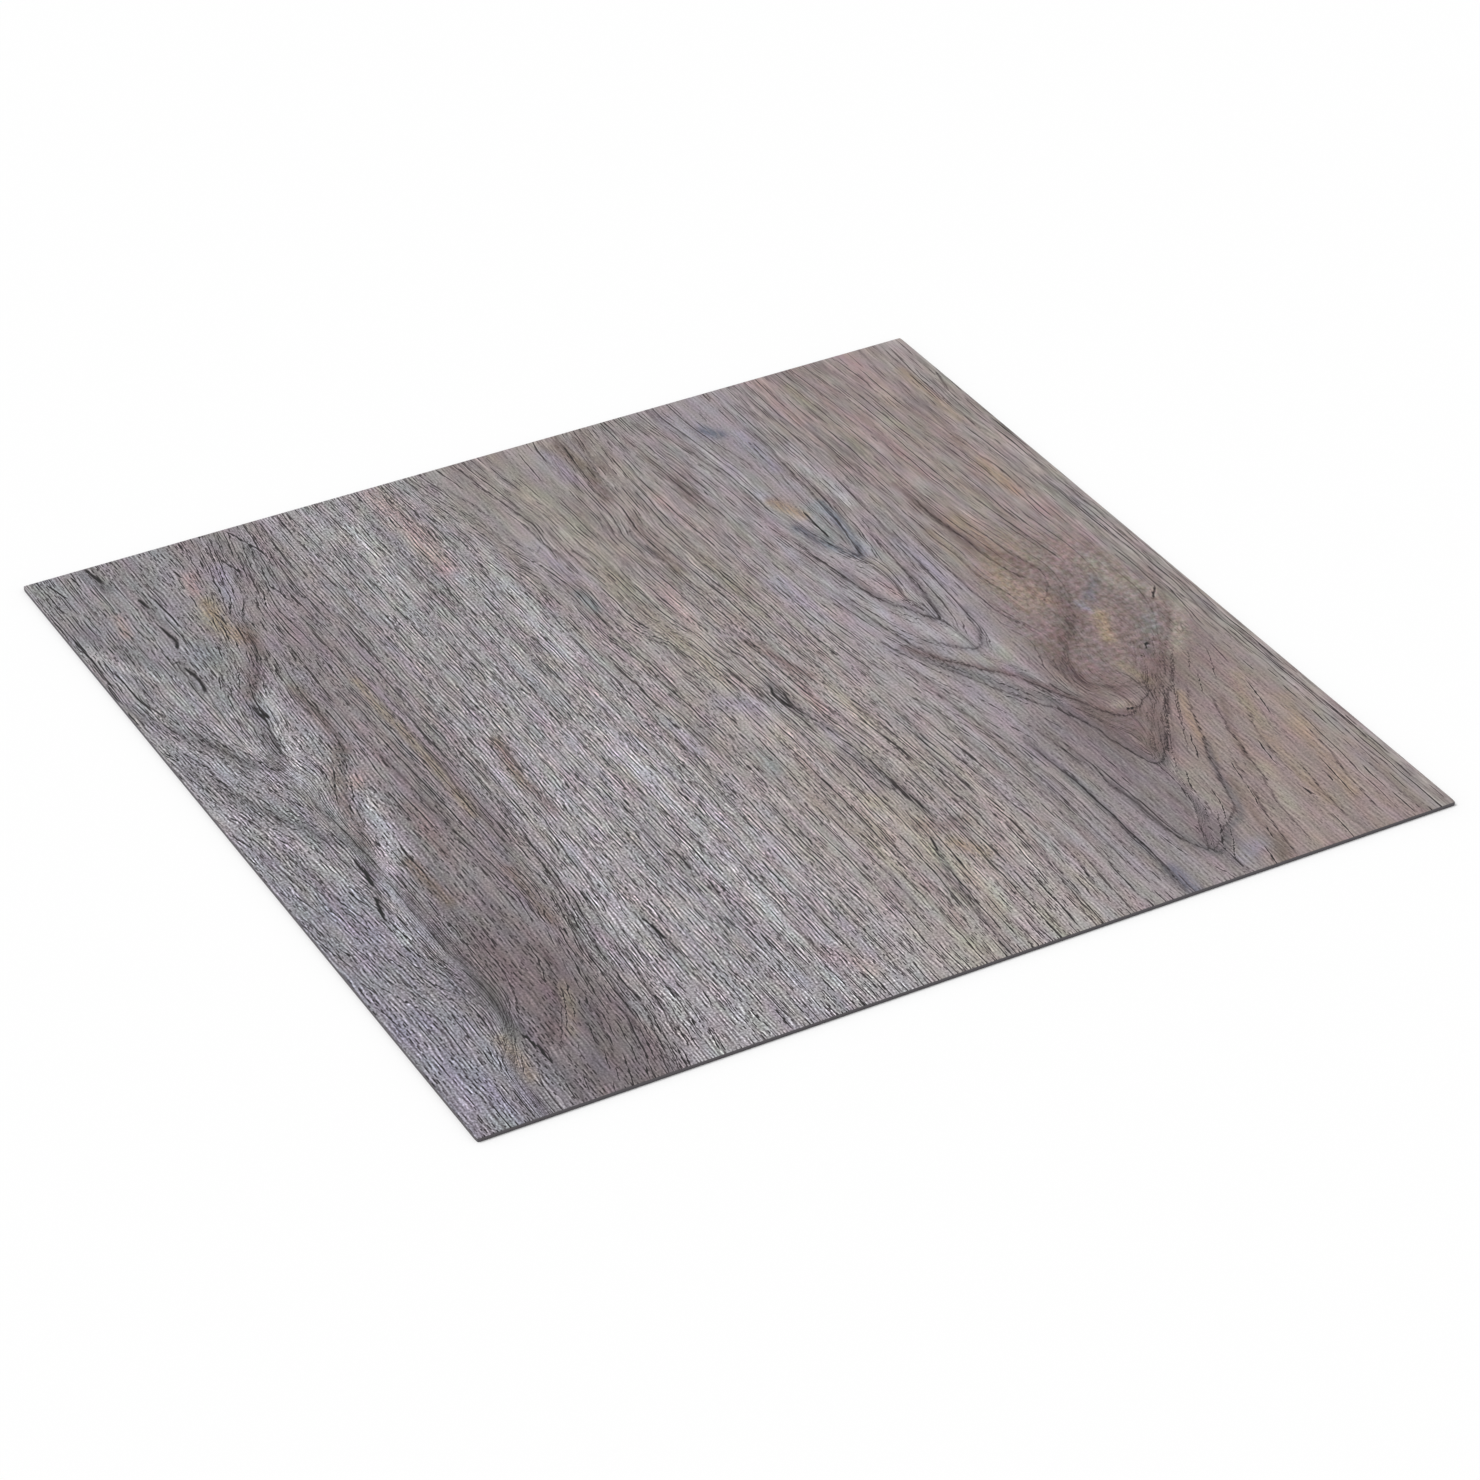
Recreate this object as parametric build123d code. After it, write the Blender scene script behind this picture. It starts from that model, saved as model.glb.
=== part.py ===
from build123d import *
import os

# Self-adhesive vinyl floor tile: one square, die-cut from the printed side of a calendered sheet.
# The origin is the centre of the adhesive underside, +Z points out of the printed wear face,
# and +Y runs along the printed wood grain.

# Driving dimensions, in millimetres
TILE_WIDTH = 304.8          # across the grain, along X: the 12 inch format
TILE_LENGTH = 304.8         # along the grain, along Y: the 12 inch format
TILE_THICKNESS = 1.2        # from the adhesive underside to the wear face
CORNER_RADIUS = 0.6         # bend of the cutting rule at each corner, seen in plan
ROLLED_EDGE_RADIUS = 0.2    # the wear face rolls over where the rule pressed into it


def die_cut_blank():
    """The plain square as the cutting rule leaves it, with four small round corners."""
    outline = RectangleRounded(TILE_WIDTH, TILE_LENGTH, CORNER_RADIUS)
    return extrude(outline, TILE_THICKNESS)


def with_rolled_edge(blank):
    """The blank with the rim of its wear face rolled over, and its lower rim left crisp."""
    wear_face = blank.faces().sort_by(Axis.Z)[-1]
    return fillet(wear_face.edges(), ROLLED_EDGE_RADIUS)


vinyl_tile = with_rolled_edge(die_cut_blank())

os.makedirs("parts", exist_ok=True)
export_step(vinyl_tile, "parts/vinyl_tile.step")
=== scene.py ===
import logging
import math
from dataclasses import dataclass, field
from enum import Enum
from functools import reduce

import bpy
import numpy as np
from mathutils import Matrix, Vector


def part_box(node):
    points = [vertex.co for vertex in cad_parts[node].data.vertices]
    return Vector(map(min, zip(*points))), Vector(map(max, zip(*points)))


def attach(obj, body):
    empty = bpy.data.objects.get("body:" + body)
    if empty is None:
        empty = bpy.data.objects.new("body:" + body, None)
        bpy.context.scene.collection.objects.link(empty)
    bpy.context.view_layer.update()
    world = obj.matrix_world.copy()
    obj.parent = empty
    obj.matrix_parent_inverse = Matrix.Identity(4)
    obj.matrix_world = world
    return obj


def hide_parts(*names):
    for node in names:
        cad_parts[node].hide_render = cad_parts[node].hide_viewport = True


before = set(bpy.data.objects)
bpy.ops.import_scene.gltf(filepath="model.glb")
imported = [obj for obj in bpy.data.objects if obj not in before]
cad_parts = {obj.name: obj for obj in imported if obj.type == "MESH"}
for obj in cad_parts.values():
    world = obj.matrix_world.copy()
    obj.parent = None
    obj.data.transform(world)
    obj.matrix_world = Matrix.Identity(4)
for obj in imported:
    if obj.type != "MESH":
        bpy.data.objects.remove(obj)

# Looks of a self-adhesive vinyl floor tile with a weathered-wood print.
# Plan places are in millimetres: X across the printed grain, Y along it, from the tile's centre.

LOG = logging.getLogger("vinyl_tile")
NODE = "vinyl_tile"
MM = 0.001              # a millimetre in metres
WHITE = 255.0           # top value of an 8-bit colour

PlanPoint = tuple[float, float]
Span = tuple[float, float]
Colour = tuple[int, int, int]
Socket = bpy.types.NodeSocket
Given = Socket | float | tuple[float, ...]


class Tint(Enum):
    """Colours of the printed wood, as 8-bit sRGB."""

    FROST = (176, 175, 179)
    SILVER = (160, 159, 161)
    STONE = (124, 122, 124)
    COAL = (92, 88, 92)
    SLATE = (92, 96, 108)
    TEAL = (116, 123, 126)
    LAVENDER = (142, 137, 153)
    MAUVE = (120, 109, 113)
    MAROON = (104, 83, 82)
    ROSE = (168, 139, 138)
    SAND = (167, 157, 144)
    OLIVE = (146, 141, 128)
    GOLD = (156, 135, 114)
    OCHRE = (143, 129, 109)
    UMBER = (109, 95, 88)


@dataclass(frozen=True)
class GrainZone:
    """A stretch of the print with its own ground colour and texture.

    Attributes:
        centre: middle of the zone in the plan, mm.
        reach: how far it holds across and along the grain, mm.
        colour: ground colour, 8-bit sRGB.
        pores: strength of the finest pores and ripple.
        cracks: strength of the dark cracks.
        streaks: strength of the long streaks.
    """

    centre: PlanPoint
    reach: PlanPoint
    colour: Colour
    pores: float
    cracks: float
    streaks: float


@dataclass(frozen=True)
class Course:
    """A smooth curve through a few points.

    Attributes:
        path: points of the curve in the plan, mm.
    """

    path: tuple[PlanPoint, ...]

    def curve(self, steps: int = 8) -> np.ndarray:
        """Sample the curve that passes smoothly through the points.

        Args:
            steps: straight pieces between two neighbouring points.

        Returns:
            Points of the curve, one row each.
        """
        knots = np.array(self.path, float)
        first = 2 * knots[0] - knots[1]
        last = 2 * knots[-1] - knots[-2]
        knots = np.vstack([first, knots, last])
        share = np.linspace(0, 1, steps, endpoint=False)[:, None]
        pieces = []
        for a, b, c, d in zip(knots, knots[1:], knots[2:], knots[3:]):
            bend = (2 * a - 5 * b + 4 * c - d) * share**2
            twist = (3 * b - a - 3 * c + d) * share**3
            pieces.append(b + 0.5 * ((c - a) * share + bend + twist))
        return np.vstack(pieces + [knots[-2:-1]])

    def nearest(
        self, points: np.ndarray, room: float
    ) -> tuple[np.ndarray, np.ndarray, np.ndarray, np.ndarray]:
        """Find the nearest place of the curve for the points round it.

        Args:
            points: plan points in mm.
            room: margin round the curve's box within which points are looked at, mm.

        Returns:
            Row numbers of those points, and for each the signed distance, the share of the way along
            the curve and the curve's direction there.
        """
        curve = self.curve()
        low, high = curve.min(axis=0) - room, curve.max(axis=0) + room
        near = np.flatnonzero(((points > low) & (points < high)).all(axis=1))
        start, span = curve[:-1], np.diff(curve, axis=0)
        from_start = points[near][:, None, :] - start[None]
        share = np.clip((from_start * span).sum(axis=2) / (span**2).sum(axis=1), 0.0, 1.0)
        gap = from_start - share[:, :, None] * span
        square = (gap**2).sum(axis=2)
        best = square.argmin(axis=1)
        row = np.arange(len(near))
        direction = span[best]
        side = direction[:, 0] * from_start[row, best, 1] - direction[:, 1] * from_start[row, best, 0]
        distance = np.where(side < 0, -1.0, 1.0) * np.sqrt(square[row, best])
        return near, distance, (best + share[row, best]) / len(span), direction


@dataclass(frozen=True)
class Band(Course):
    """A soft band of another colour.

    Attributes:
        reach: distance from the curve at which the colour has faded to a third, mm.
        tint: colour that it shifts the ground to.
        strength: share of that colour on the curve.
    """

    reach: float
    tint: Tint
    strength: float


@dataclass(frozen=True)
class GrainLine(Course):
    """A dark line of the figure.

    Attributes:
        width: width of the dark core, mm.
        depth: darkness of the core, before the finish's gain.
        halo: darkness of the soft shade beside it, in stops.
    """

    width: float
    depth: float
    halo: float = 0.0


ZONES = (
    GrainZone((-138, 128), (14, 22), (136, 133, 136), 0.75, 0.9, 0.3),
    GrainZone((-128, 105), (22, 45), (137, 134, 137), 0.8, 0.9, 0.3),
    GrainZone((-130, 20), (25, 50), (146, 143, 148), 1.0, 0.8, 0.3),
    GrainZone((-138, -95), (22, 55), (134, 132, 139), 1.0, 1.0, 0.3),
    GrainZone((-90, 90), (14, 60), (137, 128, 131), 0.7, 0.6, 0.9),
    GrainZone((-94, -10), (12, 50), (130, 122, 124), 0.7, 0.6, 1.2),
    GrainZone((-112, -108), (13, 42), (113, 102, 104), 0.65, 0.5, 0.9),
    GrainZone((-50, 100), (22, 60), (148, 145, 147), 0.9, 0.9, 0.3),
    GrainZone((-50, -10), (25, 60), (155, 151, 154), 1.0, 1.1, 0.3),
    GrainZone((-50, -110), (25, 60), (154, 150, 154), 1.0, 1.1, 0.4),
    GrainZone((15, 110), (28, 50), (143, 134, 132), 0.48, 0.35, 0.8),
    GrainZone((10, 0), (28, 55), (154, 146, 145), 0.72, 0.6, 1.0),
    GrainZone((15, -105), (28, 50), (157, 149, 147), 0.72, 0.6, 1.1),
    GrainZone((70, 110), (18, 55), (144, 137, 140), 0.5, 0.35, 0.6),
    GrainZone((72, 10), (18, 50), (152, 145, 149), 0.5, 0.35, 0.6),
    GrainZone((70, -100), (18, 50), (144, 136, 138), 0.55, 0.5, 0.7),
    GrainZone((120, 100), (28, 60), (142, 130, 128), 0.3, 0.2, 0.6),
    GrainZone((115, -25), (22, 35), (125, 109, 107), 0.5, 0.0, 0.1),
    GrainZone((96, -76), (9, 14), (120, 103, 101), 0.5, 0.0, 0.1),
    GrainZone((120, -115), (25, 45), (145, 130, 127), 0.52, 0.8, 0.7),
    GrainZone((150, 0), (7, 300), (150, 142, 139), 0.3, 0.3, 1.0),
)

LEFT_CHEVRONS = (
    GrainLine(((-91, 141), (-94.5, 125), (-97, 114), (-101.5, 105), (-103.5, 96)), 0.7, 0.75),
    GrainLine(((-103.5, 97), (-105.5, 88), (-109, 78), (-113, 71), (-117, 64.5), (-118.5, 58)),
              1.2, 0.6, 0.25),
    GrainLine(((-118.5, 62), (-119.2, 52), (-121, 42), (-122.3, 33), (-123, 25)), 0.8, 1.2, 0.15),
    GrainLine(((-141, 62), (-138.5, 48), (-136, 40), (-133, 33), (-130, 27.5), (-126.5, 25),
               (-123.5, 23.5)), 2.2, 0.5, 0.15),
    GrainLine(((-150, 50), (-147, 40), (-144.5, 31), (-142.5, 23), (-140, 14), (-138, 6), (-135.5, 0),
               (-132, -5.5), (-129.5, -12), (-127.5, -17.5), (-123.5, -21)), 0.9, 0.6, 0.1),
    GrainLine(((-123.5, -21), (-120, -17), (-118.5, -8), (-117, 0), (-114, 8), (-111, 15), (-107.5, 23),
               (-105.5, 31), (-105, 45), (-105.5, 56), (-105, 70)), 1.1, 0.45, 0.2),
    GrainLine(((-150.5, 18), (-147.5, 8), (-145.5, 1), (-143.2, -6), (-141.8, -15), (-140, -25),
               (-138, -35)), 0.7, 0.75),
    GrainLine(((-153, 6), (-149.6, -5), (-148, -15), (-146.5, -25), (-144.5, -36), (-142.5, -46)),
              0.6, 0.75),
    GrainLine(((-145, -62), (-142, -74), (-140, -82), (-137.5, -88)), 1, 0.4),
)
MAUVE_LINES = (
    GrainLine(((-99, 22), (-98, 5), (-97.5, -12), (-96.5, -30), (-94.5, -48)), 0.8, 0.7),
    GrainLine(((-93, 30), (-92, 10), (-91, -10), (-90.5, -30), (-90, -45), (-89, -55)), 0.7, 0.85),
    GrainLine(((-86, 50), (-85.5, 30), (-86, 10), (-86.5, -10), (-87, -30), (-86.5, -50)), 0.7, 0.85),
    GrainLine(((-80, 52), (-80, 30), (-79.5, 10), (-79.5, -10), (-80, -30), (-82, -50)), 0.7, 0.85),
    GrainLine(((-76, 40), (-75.5, 15), (-76, -5), (-77, -22)), 0.6, 0.7),
    GrainLine(((-101, 92), (-100, 80), (-100.5, 68)), 0.7, 0.85),
    GrainLine(((-91, 100), (-90, 85), (-90, 70)), 0.6, 0.7),
)
TONGUE_LINES = (
    GrainLine(((-100.5, -84), (-101.5, -92), (-103.5, -99), (-106, -106), (-109, -112), (-113, -118),
               (-117, -124.5), (-119, -127)), 1, 0.6, 0.2),
    GrainLine(((-99, -110), (-101.5, -121), (-103, -128), (-104.5, -135), (-107, -142)), 0.8, 0.7),
    GrainLine(((-83.5, -50), (-84, -62), (-85.5, -70), (-87.5, -78), (-89, -86), (-90.5, -94),
               (-91.2, -103), (-91.5, -112), (-92.5, -124), (-95, -135)), 0.8, 1.15),
    GrainLine(((-82, -55), (-83, -72), (-85, -84), (-87.3, -95), (-88.2, -108), (-88.7, -120),
               (-90.5, -130), (-93, -141), (-95.5, -150)), 0.7, 1),
    GrainLine(((-78.5, -62), (-80.5, -78), (-82, -92), (-83.2, -108), (-84.5, -124), (-86.5, -136),
               (-89, -150)), 0.6, 1),
    GrainLine(((-77, -84), (-78.5, -100), (-79.5, -116), (-80.5, -128), (-82.5, -142)), 0.6, 0.85),
    GrainLine(((-95.3, -118), (-95.2, -128), (-95.4, -134)), 0.6, 1.15),
)
STRAIGHT_LINES = (
    GrainLine(((-17.5, 143), (-14.5, 127), (-12.5, 117)), 0.8, 0.7),
    GrainLine(((-9, 152), (-7.5, 135), (-5.5, 119), (-4.5, 114)), 0.6, 0.65),
    GrainLine(((-6.5, 112), (-6.3, 100), (-5.2, 92), (-4.8, 80), (-3.5, 73)), 0.8, 0.8),
    GrainLine(((-11.3, 97), (-10, 92.5), (-8, 95.5)), 0.6, 0.7),
    GrainLine(((-0.3, 90), (1, 82), (0.5, 72)), 0.7, 0.7),
    GrainLine(((20.8, 93), (19.5, 86), (20.5, 76), (21.5, 60), (22.5, 50)), 0.7, 0.85),
    GrainLine(((47.5, 112), (48, 100), (48.5, 88)), 0.7, 1),
    GrainLine(((-4.5, 35), (-1.5, 31), (0.2, 27), (1, 20), (1.8, 13)), 0.9, 0.7),
    GrainLine(((19.5, 38), (20.3, 22), (21.7, 8), (22.6, -8), (24.5, -28), (26.5, -42), (28, -55),
               (28, -72), (27.2, -85)), 0.7, 0.95),
    GrainLine(((31, -25), (33, -40), (34.5, -60)), 0.6, 0.7),
    GrainLine(((33.5, 45), (34.5, 30), (35, 10), (36, -5)), 0.5, 0.7),
    GrainLine(((43, -55), (44, -75), (45, -95), (45.5, -105)), 0.7, 0.85),
    GrainLine(((47, -111), (45.5, -124), (43.5, -140)), 0.7, 1.15),
    GrainLine(((32.5, -118), (31.3, -130), (30.6, -143)), 0.6, 1.15),
    GrainLine(((14, -101), (13, -113), (12.5, -119)), 0.9, 0.7),
    GrainLine(((10, -120), (9, -130), (8, -145)), 0.7, 1),
    GrainLine(((26, -88), (25.8, -103), (25.5, -118)), 0.5, 0.7),
    GrainLine(((32, -50), (33, -70), (33.6, -90), (33, -110)), 0.6, 0.85),
    GrainLine(((37.3, -50), (38.2, -68), (38.8, -85)), 0.6, 0.85),
    GrainLine(((39.5, -108), (38.5, -125), (37, -145)), 0.6, 0.85),
    GrainLine(((4.5, -50), (4.3, -70), (3.8, -95)), 0.5, 0.6),
    GrainLine(((-2.6, -96), (-2.8, -112), (-3.5, -125)), 0.6, 0.85),
    GrainLine(((-11.5, -60), (-11.7, -80), (-11, -95)), 0.5, 0.7),
    GrainLine(((-9.5, 60), (-10, 45), (-10, 30), (-9.5, 12), (-8.5, -5)), 0.6, 0.85),
    GrainLine(((-12.2, 45), (-11.8, 25), (-11, 5)), 0.5, 0.85),
    GrainLine(((16.5, 75), (17, 55), (17.5, 40)), 0.6, 0.85),
    GrainLine(((26, 75), (27, 55), (28, 35), (28.5, 20)), 0.6, 0.85),
    GrainLine(((29.5, 80), (30.5, 60), (31.5, 40)), 0.6, 0.85),
    GrainLine(((26.5, 150), (24, 135), (22.5, 120), (22.5, 108)), 0.8, 0.7),
    GrainLine(((29, 140), (27.5, 125), (26, 110)), 0.6, 0.7),
    GrainLine(((50, 5), (52, -15), (55, -35), (58, -55), (60, -70), (61, -85), (61.5, -100), (61, -120),
               (60, -150)), 0.6, 0.85),
    GrainLine(((56, -60), (57.5, -75), (58, -95), (57.5, -120), (57, -150)), 0.6, 0.85),
    GrainLine(((52, -60), (53.5, -80), (54, -100), (53, -125), (51, -150)), 0.6, 0.85),
)
RIGHT_ARCHES = (
    GrainLine(((60.5, 75), (61.3, 60), (62.2, 45), (63.5, 33), (65.3, 23), (68, 15), (71, 9), (74, 3.5),
               (76, 0.5), (77.3, 3), (78.5, 10), (79.8, 18), (81, 28), (82, 40), (83, 52), (84, 66)),
              0.8, 1, 0.15),
    GrainLine(((67, -7.5), (70, -11.5), (73, -15), (75.5, -17.8), (77.5, -18.6), (80, -16.5),
               (82.5, -12), (84, -6), (85, 3), (86.3, 15), (87.2, 30), (88, 48), (88.8, 62), (90, 82),
               (90.8, 104)), 0.75, 0.9),
    GrainLine(((56.5, 38), (57.3, 26), (58.8, 12), (60.5, 0), (62, -8), (65, -17), (68, -22),
               (72, -27.5), (75.5, -32), (79, -36.3), (81.5, -41), (84, -48), (87, -54.5), (90, -61),
               (92.3, -66), (94.8, -69.3), (97.5, -70), (101, -68.8), (106, -65), (112, -60), (118, -53)),
              0.8, 1.1, 0.2),
    GrainLine(((58, -8), (61, -16.5), (64.5, -24.5), (67.5, -31), (71, -39), (75, -47), (79, -54),
               (82.5, -61.5), (84.5, -69), (86, -77), (87, -85), (88.5, -91), (91, -95), (94, -93.5),
               (98, -88.5), (102, -82.5), (106.5, -76), (112, -68), (118, -60.5), (123, -53), (128, -45)),
              0.8, 1.1, 0.2),
    GrainLine(((70, -61), (72, -69), (73.5, -79), (74, -90), (73.6, -100), (75, -110), (75, -122),
               (76.3, -131), (79, -136.5), (82.5, -138), (86.5, -134.5), (90.5, -130), (95.5, -127),
               (98, -122), (100, -116), (102.5, -108), (105.5, -99), (108.5, -91.5), (111.5, -84),
               (115, -75), (119.5, -66), (125, -58)), 0.8, 1, 0.15),
    GrainLine(((63, -62), (64.7, -75), (65.7, -90), (66, -103), (65.5, -117), (65.3, -130), (64.5, -141),
               (64, -153)), 0.75, 1.2, 0.1),
    GrainLine(((93.2, 52), (93, 35), (92.6, 15), (93, 0), (94.2, -8), (96.5, -14), (99, -19)), 0.8, 0.8),
    GrainLine(((98.2, 70), (98.2, 50), (98.7, 30), (99.2, 15), (100.3, 5), (102.5, -5)), 0.7, 0.75),
    GrainLine(((104.5, 70), (105, 48), (106.2, 35), (107.2, 20), (108.5, 12), (111, 6)), 0.8, 1.1, 0.2),
    GrainLine(((111, 46), (113, 32), (114.8, 18), (116.3, 9), (114.5, 2), (110, -4.5), (106.5, -9)),
              0.8, 0.6),
    GrainLine(((123.5, 30), (124.5, 20), (125, 12)), 0.5, 0.7),
    GrainLine(((77.6, 121), (77, 108), (76.3, 98), (75, 88)), 0.6, 0.8),
    GrainLine(((81.5, 128), (81, 112), (80.3, 100), (79.6, 88), (79.3, 78), (78, 66), (76.5, 55)),
              0.75, 0.95),
    GrainLine(((69, 121), (70.3, 110), (71.2, 98), (71.3, 94)), 0.5, 0.8),
    GrainLine(((58, 131), (59.5, 118), (61, 105), (61.5, 92), (61.2, 78)), 0.7, 0.8),
    GrainLine(((54.5, 125), (55.5, 110), (56.5, 95)), 0.5, 0.6),
    GrainLine(((102.5, 115), (103.3, 100), (103, 85)), 0.6, 0.7),
    GrainLine(((99, 152), (98, 120), (98.5, 95), (98.2, 70)), 0.5, 0.7),
    GrainLine(((94, 135), (94.5, 110)), 0.5, 0.55),
    GrainLine(((54, -12), (57, -28), (60, -42), (62, -52)), 0.7, 0.8),
    GrainLine(((68, -57), (70, -64), (71, -75), (72, -88)), 0.6, 0.7),
    GrainLine(((63.5, 72), (66, 62), (69, 53), (72, 46), (74, 43), (76.5, 52)), 0.8, 0.7),
    GrainLine(((88, 150), (87.5, 130), (88, 110)), 0.5, 0.7),
    GrainLine(((109, 150), (110, 130), (110.5, 110)), 0.5, 0.55),
    GrainLine(((116.5, 148), (118, 125), (118.5, 105)), 0.5, 0.6),
    GrainLine(((134.5, 95), (135.8, 80), (137, 60), (136.5, 45)), 0.6, 0.7),
    GrainLine(((140.5, 80), (141, 60)), 0.5, 0.7),
    GrainLine(((108, 85), (108, 70), (109, 55)), 0.6, 0.7),
    GrainLine(((145.5, 150), (145, 130), (144.5, 110), (145, 85)), 0.5, 0.7),
)
KNOT_LINES = (
    GrainLine(((92.5, -45), (96, -37), (101, -29.5), (107, -23), (112, -15), (115, -6), (117, 2)),
              3.2, 0.25, 0.2),
    GrainLine(((97.5, -36), (94.5, -43), (95.5, -50), (101, -55.5), (108, -58), (115, -56), (121, -50.5),
               (127, -44), (134, -34), (140, -25)), 1.4, 0.35, 0.15),
    GrainLine(((101, -42), (100, -48), (104, -52), (110, -53), (116, -50)), 1, 0.2),
    GrainLine(((94, -12), (96.5, -20), (95, -28), (92.5, -36), (91.5, -46), (93, -55)), 1, 0.25),
    GrainLine(((121, 5), (119, -4), (120, -12), (121.5, -20)), 0.8, 0.25),
)
RIGHT_STRIP_LINES = (
    GrainLine(((146.3, 60), (146.5, 20), (146, -20), (146.3, -60), (146.6, -100), (145.8, -153)), 0.5, 1),
    GrainLine(((149.3, 70), (149.5, 0), (149.2, -60), (149.6, -153)), 0.5, 0.85),
    GrainLine(((143.6, -5), (143.8, -50)), 0.5, 0.7),
    GrainLine(((147.5, 125), (147, 108)), 0.5, 0.85),
    GrainLine(((150.5, 128), (149, 115)), 0.6, 1.15),
    GrainLine(((124, -70), (121, -80), (118, -90), (115.8, -101), (113, -113), (110.5, -124),
               (108.5, -134), (106.5, -150)), 0.7, 1),
    GrainLine(((128, -84), (124, -97), (121.5, -110)), 0.6, 0.7),
    GrainLine(((110.5, -104), (108, -114)), 0.6, 0.85),
    GrainLine(((107, -118), (104, -130), (101, -143), (99.5, -153)), 0.8, 1),
    GrainLine(((125.5, -112), (123.5, -128), (122, -145)), 0.6, 0.85),
    GrainLine(((138, -98), (136, -115), (133.5, -130), (131.5, -147)), 0.7, 0.85),
    GrainLine(((142.5, -120), (142, -153)), 0.5, 0.7),
)
RING_LINES = (
    LEFT_CHEVRONS + MAUVE_LINES + TONGUE_LINES + STRAIGHT_LINES + RIGHT_ARCHES
    + KNOT_LINES + RIGHT_STRIP_LINES
)

# Drying checks: short black splits in the wood that was printed from
CHECKS = (
    GrainLine(((-146, 150), (-144.5, 143), (-143.7, 139.5)), 0.55, 1.6),
    GrainLine(((-138.2, 150), (-137.6, 144)), 0.55, 1.8),
    GrainLine(((-132.2, 152), (-131.5, 146), (-131, 141)), 0.9, 1.2),
    GrainLine(((-102.3, 152), (-103, 146)), 0.65, 1.2),
    GrainLine(((-87, 152), (-84.5, 143), (-82.3, 136), (-82, 132.5)), 0.55, 1.2),
    GrainLine(((-94.8, 137.5), (-93.5, 131.5), (-92, 126)), 0.65, 1.1),
    GrainLine(((-147.8, 136.5), (-147.2, 130.5)), 0.5, 1),
    GrainLine(((-110, 138), (-109.5, 133)), 0.55, 0.9),
    GrainLine(((-125.2, 129), (-124.8, 125), (-124.6, 122)), 0.9, 1.3),
    GrainLine(((-121.6, 128), (-121, 121), (-120.3, 115), (-121, 108)), 0.55, 1.4),
    GrainLine(((-125.5, 112), (-125.2, 107), (-125, 101), (-126, 97)), 0.85, 1.2),
    GrainLine(((-130.5, 90.5), (-128.5, 91)), 0.7, 1.2),
    GrainLine(((-128.8, 88), (-127.5, 82), (-127.5, 77), (-128.5, 72)), 1.05, 1.1),
    GrainLine(((-151.3, 122), (-150.4, 113), (-150.6, 100), (-151, 85)), 0.55, 1.4),
    GrainLine(((-147.2, 96), (-147, 86), (-146.4, 78), (-145.5, 70)), 0.65, 1.6),
    GrainLine(((-88.3, 117), (-87, 110), (-86.2, 106)), 0.55, 1.1),
    GrainLine(((-112.8, 126), (-112.3, 120)), 0.5, 0.9),
    GrainLine(((-109.3, 113), (-108.2, 107), (-107.8, 102)), 0.55, 0.9),
    GrainLine(((-136, 115), (-135, 108)), 0.5, 0.9),
    GrainLine(((-119.7, 60), (-119.3, 50)), 0.5, 1.5),
    GrainLine(((-118, 62), (-117.8, 50)), 0.5, 1.3),
    GrainLine(((-126.8, -24), (-127.3, -33), (-128, -40)), 0.85, 1.3),
    GrainLine(((-129.3, -44), (-131, -50), (-132, -57)), 0.75, 1.3),
    GrainLine(((-126, -28), (-126.5, -37)), 0.5, 1.2),
    GrainLine(((-122.5, -118), (-121.3, -125), (-121.2, -134)), 0.85, 1.2),
    GrainLine(((-71.2, -88), (-70.3, -95), (-69.5, -101)), 0.65, 1.7),
    GrainLine(((-69.5, -101), (-69.2, -110)), 0.5, 1),
    GrainLine(((-43.2, -51), (-43.3, -64), (-43.7, -77)), 0.5, 1.4),
    GrainLine(((-48.3, -64), (-48.2, -76)), 0.5, 1.1),
    GrainLine(((-46.7, -81), (-47.5, -90)), 0.55, 1.2),
    GrainLine(((-46.5, -110), (-47, -118)), 0.5, 1.1),
    GrainLine(((15.3, -6.5), (14, -10), (14.3, -15), (15, -19.5)), 0.7, 1.5),
    GrainLine(((17.3, -10), (16, -17), (16.5, -24)), 0.65, 0.9),
    GrainLine(((18.5, -32), (19.5, -36)), 0.55, 1),
    GrainLine(((18.3, -63), (19, -69)), 0.5, 1.1),
    GrainLine(((22, -73), (22, -82)), 0.55, 1.4),
    GrainLine(((16.8, -94), (15.7, -98), (14.2, -102)), 0.7, 1.2),
    GrainLine(((21.6, 15.5), (22.3, 12.5)), 0.65, 1.3),
    GrainLine(((25, 18), (25.2, 16)), 0.55, 1.2),
    GrainLine(((51.3, 100), (50.8, 96)), 0.5, 1.4),
    GrainLine(((71.6, 74), (71.3, 66), (70.8, 56.5)), 0.7, 1.9),
    GrainLine(((141.5, -15), (139, -18.5), (137, -21.5)), 0.65, 1.4),
    GrainLine(((122.5, -40.5), (120.5, -43)), 0.85, 1.7),
    GrainLine(((118.5, -44.5), (117, -47)), 0.5, 1),
    GrainLine(((100.5, -68), (98, -67.5)), 0.9, 1.3),
    GrainLine(((129, -121), (128.6, -127)), 0.55, 1.1),
    GrainLine(((119.8, -125), (120.3, -130)), 0.55, 1),
)

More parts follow.
